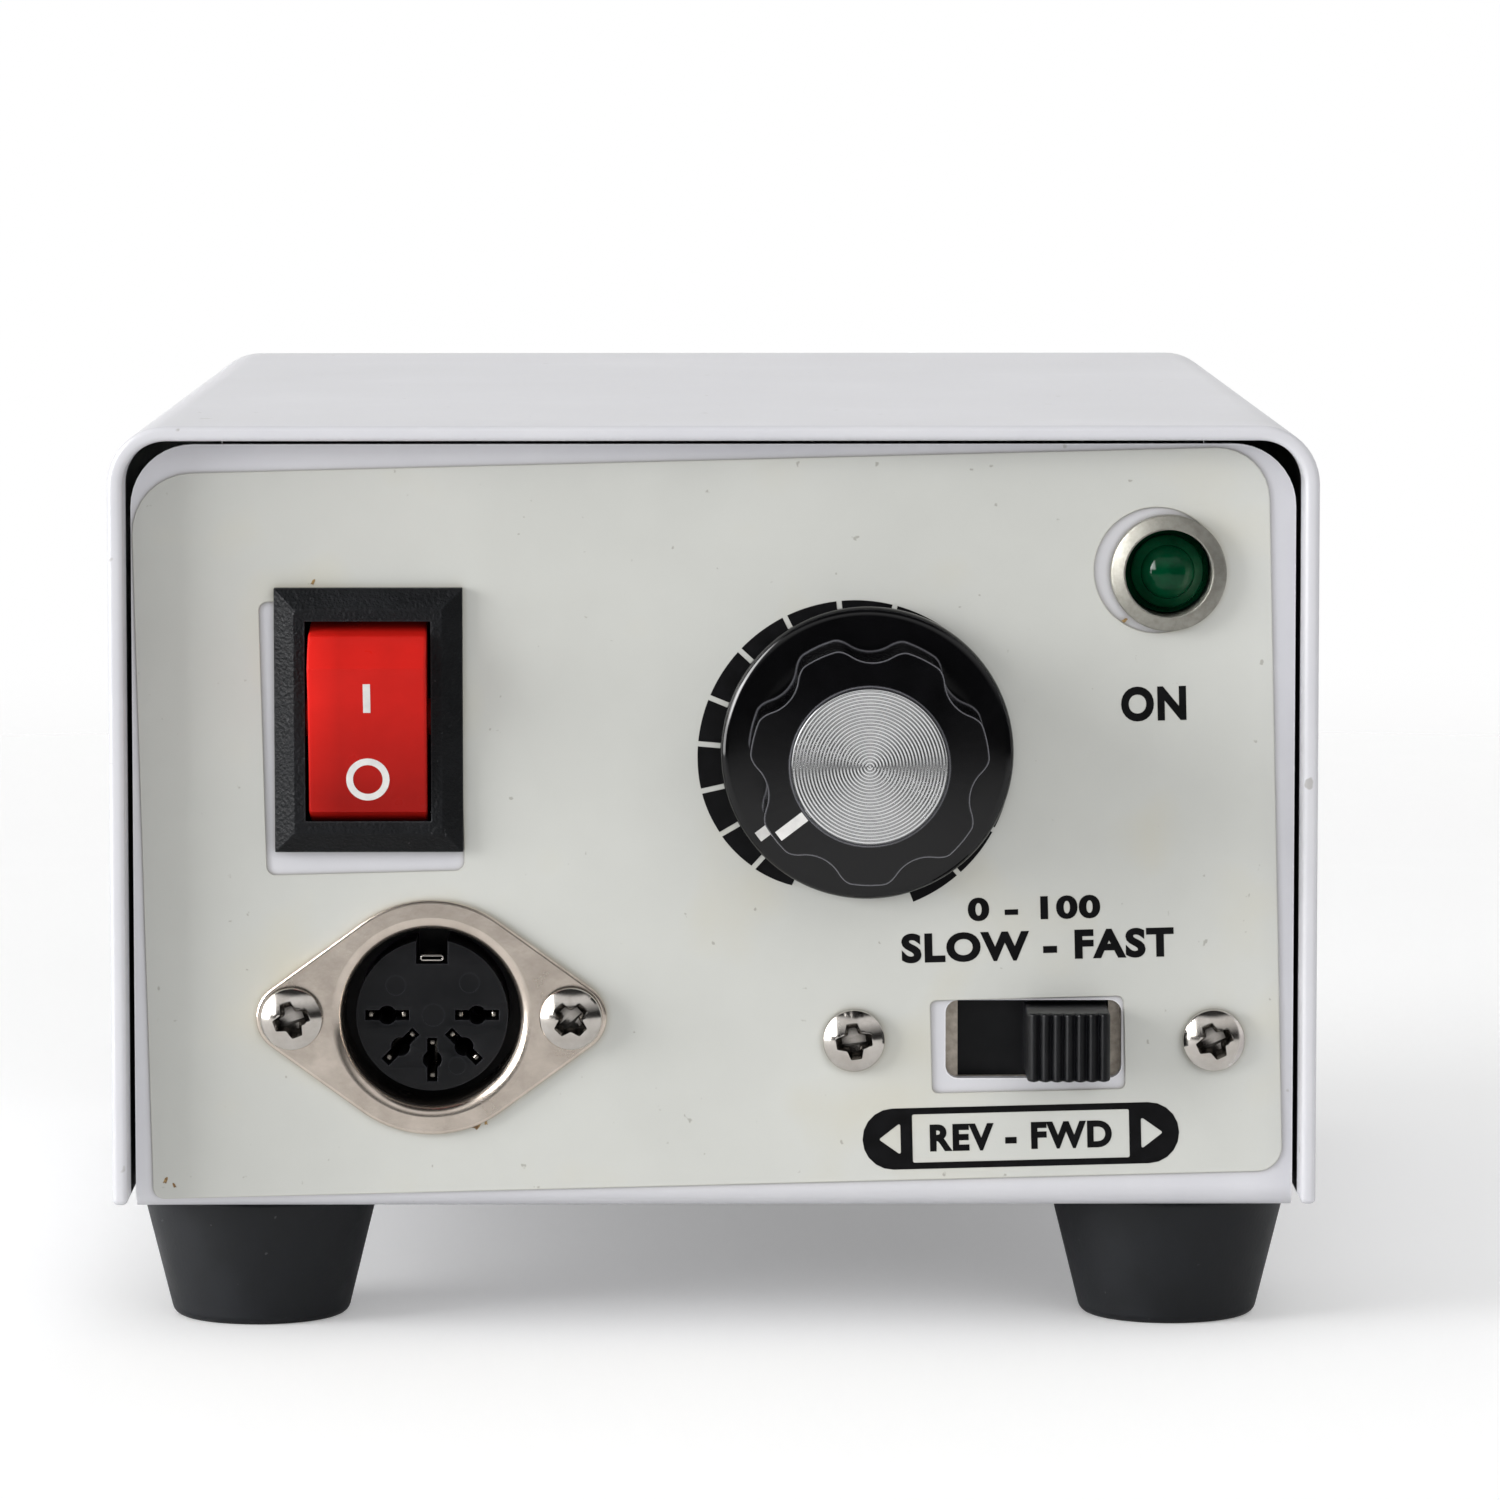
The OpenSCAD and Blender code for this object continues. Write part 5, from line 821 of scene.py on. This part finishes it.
def make_knob():
    """Turns the skirt, welds the fluted grip on it, bores it and marks its pointer."""
    place = front(*KNOB, 0, POINTER)
    skirt = turned("knob_body", [(0, 2.45), (9.3, 2.45), (11.7, 2.25, 0.75), (11.7, 0.75, 0.25), (0, 0.75),
                                 (0, 2.45)], 120, 8)
    grip = seat(cut_sheet("grip", [fluted(9.4, 7, 1.25, 3.2)], 11.0), shift(z=2.0))
    dome = turned("dome", [(0, 1.5), (11, 1.5), (11, crown(11)), (6, crown(6)), (0, crown(6))], 60)
    combine(grip, [dome], "INTERSECT")
    combine(skirt, [ease_edges(close_up(grip), 0.6, 5, 50)], "UNION")
    hollow = turned("hollow", [(0, 0), (7.0, 0), (7.0, 4.05), (4.6, 4.05), (4.6, 11.05), (0, 11.05)], 64)
    recess = rod("recess", 6.25, 12.6, 14, 96)
    grub = rod("grub", 1.6, 0, 12, 40)
    seat(grub, spun(math.radians(77.143), "Z") @ shift(z=7.55) @ spun(QUARTER, "Y"))
    combine(skirt, [hollow, recess, grub])
    done(seat(skirt, place), knob_phenolic, "speed_knob", "knob_black", "knob", sharp=28)
    pitch, level = 0.262, 13.13
    ridge = ((0.95, 0), (0.7, 0.025), (0.45, 0.05), (0.2, 0.025))
    rings = [((k + part) * pitch, level + rise) for k in range(22, -1, -1) for part, rise in ridge]
    profile = [(0, 12.62), (6.15, 12.62), (6.15, 13.05), (6.08, 13.15)] + rings + [(0, level)]
    cap = seat(turned("knob_disc", profile, 144), place)
    done(cap, faced_aluminium, "speed_knob", "spun_aluminium", "knob_cap", sharp=50)
    path = [(r, crown(r)) for r in (6.4, 8, 8.95)] + [(9.27, 12.6), (9.4, 12.28), (9.4, 2.46), (10.95, 2.33)]
    line = seat(strip("knob_pointer", path, 0.85, 0.05), place)
    done(line, pad_ink, "speed_knob", "knob_black")


# The handpiece socket

def make_socket():
    """Cuts the eared flange, welds the rolled rim and tube on it, and moulds the keyed core."""
    big, ear = 9.45, 2.9
    lean = math.acos((big - ear) / SOCKET_SCREW)
    line = []
    for side in (0, math.pi):
        line += arc_line(big, side - (math.pi - lean), math.pi - 2 * lean, 16)
        line += arc_line(ear, side - lean, 2 * lean, 16, *swung(SOCKET_SCREW, 0, side))
    flange = seat(cut_sheet("socket_flange", [line], FLANGE, 0.26, 3), shift(z=FILM))
    combine(flange, [rod("tube", 7.75, -9, 0.6, 96)], "UNION")
    mouth, curl = 8.05, 0.95
    throat = arc_line(curl, math.pi, -QUARTER, 16, mouth, 0.10)
    combine(flange, [turned("throat", [(0, -10), (mouth - curl, -10)] + throat + [(mouth, 2), (0, 2)], 120)])
    done(seat(flange, front(*SOCKET)), nickel_plate, "case", "nickel", "socket_shell", sharp=8)
    core_r, key, hole_r, slot, long = 6.1, 1.25, 0.75, 0.4, 1.75
    arc = math.asin(key / core_r)
    loops = [arc_line(core_r, QUARTER + arc, math.tau - 2 * arc, 90) + [(key, 4.15), (-key, 4.15)]]
    bend = math.asin(slot / hole_r)
    hole = [(long, -slot), (long, slot)] + arc_line(hole_r, bend, math.pi - 2 * bend, 12)
    hole += [(-long, slot), (-long, -slot)] + arc_line(hole_r, math.pi + bend, math.pi - 2 * bend, 12)
    loops += [[swung(PIN_CIRCLE + x, y, math.radians(angle)) for x, y in hole] for angle in PIN_ANGLES]
    core = seat(cut_sheet("socket_insert", loops, 5.9, 0.08, 1), shift(z=-6.5))
    combine(core, [seat(rod("mark", r, -0.66, 0, 32), shift(x, y)) for r, x, y in
                   ((0.9, 0.1, 0), (0.8, -2.9, 2.4), (0.8, 3.0, 2.6), (0.7, 2.0, -4.1))])
    done(seat(core, front(*SOCKET)), plain_abs, "case", "black_moulding", "socket_core", sharp=30)
    clip = cut_sheet("socket_key_clip", [box_line(1.9, 0.5, 0.24), box_line(1.64, 0.24, 0.11)], 3.0, 0.03)
    done(seat(clip, front(SOCKET[0], SOCKET[1] + 4.6, -3.8)), screw_nickel, "case", "nickel")
    fork = [(-1.6, -9.8), (-0.5, -9.8), (-0.5, -13), (0.5, -13), (0.5, -9.8), (1.6, -9.8), (1.6, -1.1, 0.22),
            (1.1, -1.1, 0.22), (1.1, -9), (-1.1, -9), (-1.1, -1.1, 0.22), (-1.6, -1.1, 0.22)]
    prong = seat(cut_sheet("prong", [eased(fork)], 0.56, 0.16, 3), spun(QUARTER, "X") @ shift(z=-0.28))
    prongs = [twin(prong, front(*SOCKET, 0, math.radians(angle)) @ shift(PIN_CIRCLE)) for angle in PIN_ANGLES]
    bpy.data.objects.remove(prong)
    done(joined("socket_prongs", prongs), tinned_bronze, "case", "contact_brass", "socket_contacts")


# The direction switch and the pilot lamp

def make_slide_button():
    """Cuts the ribbed button in plan and welds it on the plate that slides behind the slot."""
    half, count, tall = 3.3, 7, 5.5
    pitch = 2 * half / count
    ribs = []
    for k in range(count):
        for t in range(-4, 5):
            x = half - (k + 0.5) * pitch - t / 4 * pitch / 2
            ribs.append((x, 5.8 - 0.5 * (t / 4) ** 2 - 0.35 * (x / half) ** 2))
    button = cut_sheet("slide_button", [ribs + [(-half, -half), (half, -half)]], tall, 0.22, 3)
    seat(button, spun(QUARTER, "X") @ shift(z=-tall / 2))
    plate = seat(cut_sheet("plate", [box_line(17.6, 8.6, 0.5)], 2.4, 0.1), shift(z=-4.5))
    combine(button, [plate], "UNION")
    seat(button, front(SLIDE[0] + 2.6, SLIDE[1]))
    done(button, plain_abs, "direction_slider", "black_moulding", "slide_actuator", sharp=30)


def make_lamp():
    """Turns the lamp's bezel and barrel, and its domed lens."""
    bezel = turned("lamp_ring", [(3.475, -12), (3.975, -12), (3.975, FILM), (4.625, FILM), (4.625, 1.4, 0.2),
                                 (3.62, 1.75, 0.06), (3.475, 1.75, 0.05), (3.475, -12)], 120)
    done(seat(bezel, front(*LAMP)), satin_nickel, "case", "nickel", "lamp_bezel", sharp=30)
    dome = arc_line(2.75, math.radians(42), math.radians(48), 12, 0, -1.75)
    lens = turned("lamp_dome", [(0, -1.2), (1.3, -1.2), (2.275, -2.2), (2.275, -5.05), (3.375, -5.05), (3.375, -2.2),
                                (2.95, -2.0), (2.95, -0.75, 0.5), (2.15, -0.2)] + dome, 96)
    done(seat(lens, front(*LAMP)), green_acrylic, "case", "lens_green", "lamp_lens", sharp=30)


# The rear panel's fittings

def make_rear_fittings():
    """Makes the cord's bush, the fuse holder with its cap, and the jack with its nut."""
    bush = turned("cord_grommet", [(3.3, -3.6), (6.5, -3.6, 0.3), (7.5, -1.2, 0.2), (5.5, -1.2), (5.5, 0),
                                   (7.5, 0, 0.2), (7.5, 1.4, 0.5), (6.5, 2.4, 0.5), (3.3, 2.4, 0.5),
                                   (3.3, -3.6)], 96)
    done(seat(bush, rear(*CORD_BUSH)), FINISHES["bush_rubber"], "case", "bush_rubber", "cord_bush")
    holder = turned("fuse_body", [(0, -23), (6.0, -23, 0.4), (6.0, 0), (8.0, 0, 0.15), (8.0, 2.0, 0.5),
                                  (4.4, 2.0, 0.2), (4.4, -21.4), (0, -21.4)], 96)
    done(seat(holder, rear(*FUSE)), plain_abs, "case", "black_moulding", "fuse_holder")
    cap = seat(cut_sheet("fuse_top", [fluted(6.3, 18, 0.35, 0.7, 720, 2)], 8.0, 0.5, 4), shift(z=2.0))
    combine(cap, [rod("shank", 4.1, -4, 4, 64)], "UNION")
    socket = rod("socket", 2.7, -5, 4, 48)
    slot = seat(cut_sheet("slot", [box_line(20, 1.4)], 2.0), shift(z=8.6))
    combine(cap, [socket, slot])
    done(seat(ease_edges(cap, 0.08, 1, 60), rear(*FUSE)), grained_abs, "fuse_carrier", "black_moulding",
         "fuse_cap", sharp=30)
    jack = turned("jack_body", [(3.25, -19.2), (3.25, 3.2, 0.3), (4.75, 3.2, 0.4), (4.75, -2.2), (4.6, -2.2),
                                (4.6, -19.2), (3.25, -19.2)])
    block = seat(cut_sheet("block", [box_line(15, 15, 1.0), ring_line(4.0)], 20.0, 0.3), shift(z=-21.2))
    combine(jack, [block], "UNION")
    done(seat(jack, rear(*FOOT_JACK)), plain_abs, "case", "black_moulding", "foot_jack")
    nut = cut_sheet("jack_hex", [hex_line(7.217, 0.4), ring_line(4.8)], 2.0, 0.25)
    done(seat(nut, rear(*FOOT_JACK, 0, 0.2)), zinc_steel, "case", "zinc_steel", "jack_nut")


# Inside the case

def make_windings():
    """Winds the transformer's coil and the rocker's spring."""
    low, high = (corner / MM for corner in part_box("transformer_winding"))
    wire = 1.0
    middle = (low + high) / 2
    wide, deep, tall = high - low
    lap = box_line(wide - wire, deep - wire, 2.5)
    turns = int(tall / wire)
    path = [(middle.x + x, middle.y + y, low.z + wire / 2 + (tall - wire) * (k + i / len(lap)) / turns)
            for k in range(turns) for i, (x, y) in enumerate(lap)]
    coil = wound("winding_wire", path, wire, 1)
    body = cut_sheet("body", [lap, box_line(28.5, 21.5, 0.5)], tall - 0.2)
    seat(body, shift(middle.x, middle.y, low.z + 0.1))
    done(joined("winding_wire", [coil, body]), FINISHES["copper_wire"], "case", "copper_wire", "transformer_winding")
    coils, steps = 4, 96
    rise = [(x, y, -0.8 + 3.0 * t / steps)
            for t, (x, y) in enumerate(arc_line(1.15, math.radians(30), math.tau * coils, steps))]
    spring = seat(wound("spring_wire", rise, 0.4, 2), rocker_place())
    done(spring, FINISHES["spring_steel"], "rocker", "spring_steel", "rocker_spring")


make_cover()
make_chassis()
make_rear_panel()
make_feet()
make_screws()
make_film()
make_printing()
make_glue_marks()
make_rocker_housing()
make_rocker_paddle()
make_knob()
make_socket()
make_slide_button()
make_lamp()
make_rear_fittings()
make_windings()


# The studio

def make_floor():
    """Lays white paper that fades out into the room."""
    floor = blank("studio_floor", (2000, 2000, 1))
    paper = bpy.data.materials.new("white_studio_paper")
    paper.use_nodes = True
    tree = paper.node_tree
    shader = tree.nodes["Principled BSDF"]
    shader.inputs["Base Color"].default_value = linear("#EFEFEF")
    shader.inputs["Roughness"].default_value = 0.9
    path = add(tree, "LightPath")
    glow = add(tree, "Emission", Color="#FFFFFF", Strength=0.23)
    both = add(tree, "AddShader", in0=shader.outputs["BSDF"], in1=glow.outputs["Emission"])
    seen = add(tree, "MixShader", Fac=path.outputs["Is Camera Ray"], in1=shader.outputs["BSDF"],
               in2=both.outputs["Shader"])
    # The paper fades out into the white room well away from the object, and isn't seen from below
    away = add(tree, "VectorMath", operation="LENGTH", in0=add(tree, "TexCoord").outputs["Object"])
    fade = add(tree, "MapRange", interpolation_type="SMOOTHSTEP", Value=away.outputs["Value"],
               From_Min=0.22, From_Max=0.60)
    open_air = add(tree, "BsdfTransparent")
    below = calc(tree, "MULTIPLY", path.outputs["Is Camera Ray"], add(tree, "NewGeometry").outputs["Backfacing"])
    gone = calc(tree, "MAXIMUM", fade.outputs["Result"], below)
    sheet = add(tree, "MixShader", Fac=gone, in1=seen.outputs["Shader"], in2=open_air.outputs["BSDF"])
    tree.links.new(sheet.outputs["Shader"], tree.nodes["Material Output"].inputs["Surface"])
    floor.data.materials.append(paper)


def make_room():
    """Lights the room: white to the camera, soft to what is matt, with forms to mirror in what shines."""
    room = bpy.data.worlds.new("studio_room")
    bpy.context.scene.world = room
    room.use_nodes = True
    tree = room.node_tree
    back = tree.nodes["Background"]
    path = add(tree, "LightPath")
    way = add(tree, "SeparateXYZ", Vector=add(tree, "TexCoord").outputs["Generated"])
    x, y, z = (way.outputs[axis] for axis in "XYZ")
    # What shines sees a pale table ahead and below, a white wall behind, and a dark room with a pale band across it
    # and a bright window to the left
    edge = add(tree, "Math", operation="MULTIPLY_ADD", in0=calc(tree, "MULTIPLY", x, x), in1=1.5, in2=z)
    table = ramp(tree, edge.outputs["Value"], -0.02, -0.09, 0.03, 0.41)
    wall = ramp(tree, y, 0.35, 0.7)
    band = calc(tree, "MULTIPLY", ramp(tree, z, 0.12, 0.55, 0.0, 0.78), ramp(tree, z, 0.80, 0.70))
    window = ramp(tree, x, -0.62, -0.70, 0.0, 17.0)
    for limit in (ramp(tree, x, -0.94, -0.86), ramp(tree, y, -0.10, -0.25), ramp(tree, z, 0.06, 0.16)):
        window = calc(tree, "MULTIPLY", window, limit)
    shade = table
    for bright in (wall, band, window):
        shade = calc(tree, "MAXIMUM", shade, bright)
    # What is matt sees a soft sky, brighter overhead
    sky = ramp(tree, z, 0.2, 0.9, 0.26, 0.84)
    mirror = calc(tree, "MAXIMUM", path.outputs["Is Glossy Ray"], path.outputs["Is Transmission Ray"])
    dim = add(tree, "Mix", in0=mirror, in2=sky, in3=shade)
    level = add(tree, "Mix", in0=path.outputs["Is Camera Ray"], in2=dim.outputs[0], in3=1.0)
    tree.links.new(level.outputs[0], back.inputs["Strength"])
    back.inputs["Color"].default_value = linear("#FFFFFF")


def make_lamps():
    """Hangs a key lamp at the left and a fill lamp at the front, both soft and aimed at the case."""
    aim = Vector((0, 0, 0.04))
    for name, spot, wide, high, power, mirrored in (
            ("key_softbox", (-1.2, -0.48, 0.26), 0.8, 0.7, 15.0, True),
            ("fill_softbox", (0.4, -1.2, 0.40), 1.2, 0.8, 5.6, False)):
        lamp = bpy.data.lights.new(name, "AREA")
        lamp.shape = "RECTANGLE"
        lamp.size, lamp.size_y, lamp.energy = wide, high, power
        holder = bpy.data.objects.new(name, lamp)
        bpy.context.collection.objects.link(holder)
        holder.location = spot
        holder.visible_glossy = mirrored
        holder.rotation_euler = (aim - Vector(spot)).to_track_quat("-Z", "Y").to_euler()


def make_camera():
    """Sets the camera at the photograph's place."""
    lens = bpy.data.cameras.new("photo_camera")
    lens.lens, lens.sensor_width = 185.43, 36.0
    lens.clip_start, lens.clip_end = 0.05, 20.0
    camera = bpy.data.objects.new("photo_camera", lens)
    bpy.context.collection.objects.link(camera)
    camera.location = (-0.00022, -0.67345, 0.10641)
    camera.rotation_euler = (math.radians(90 - 5.49), math.radians(0.027), math.radians(-0.293))
    bpy.context.scene.camera = camera
    bpy.context.scene.view_settings.view_transform = "Standard"


make_floor()
make_room()
make_lamps()
make_camera()
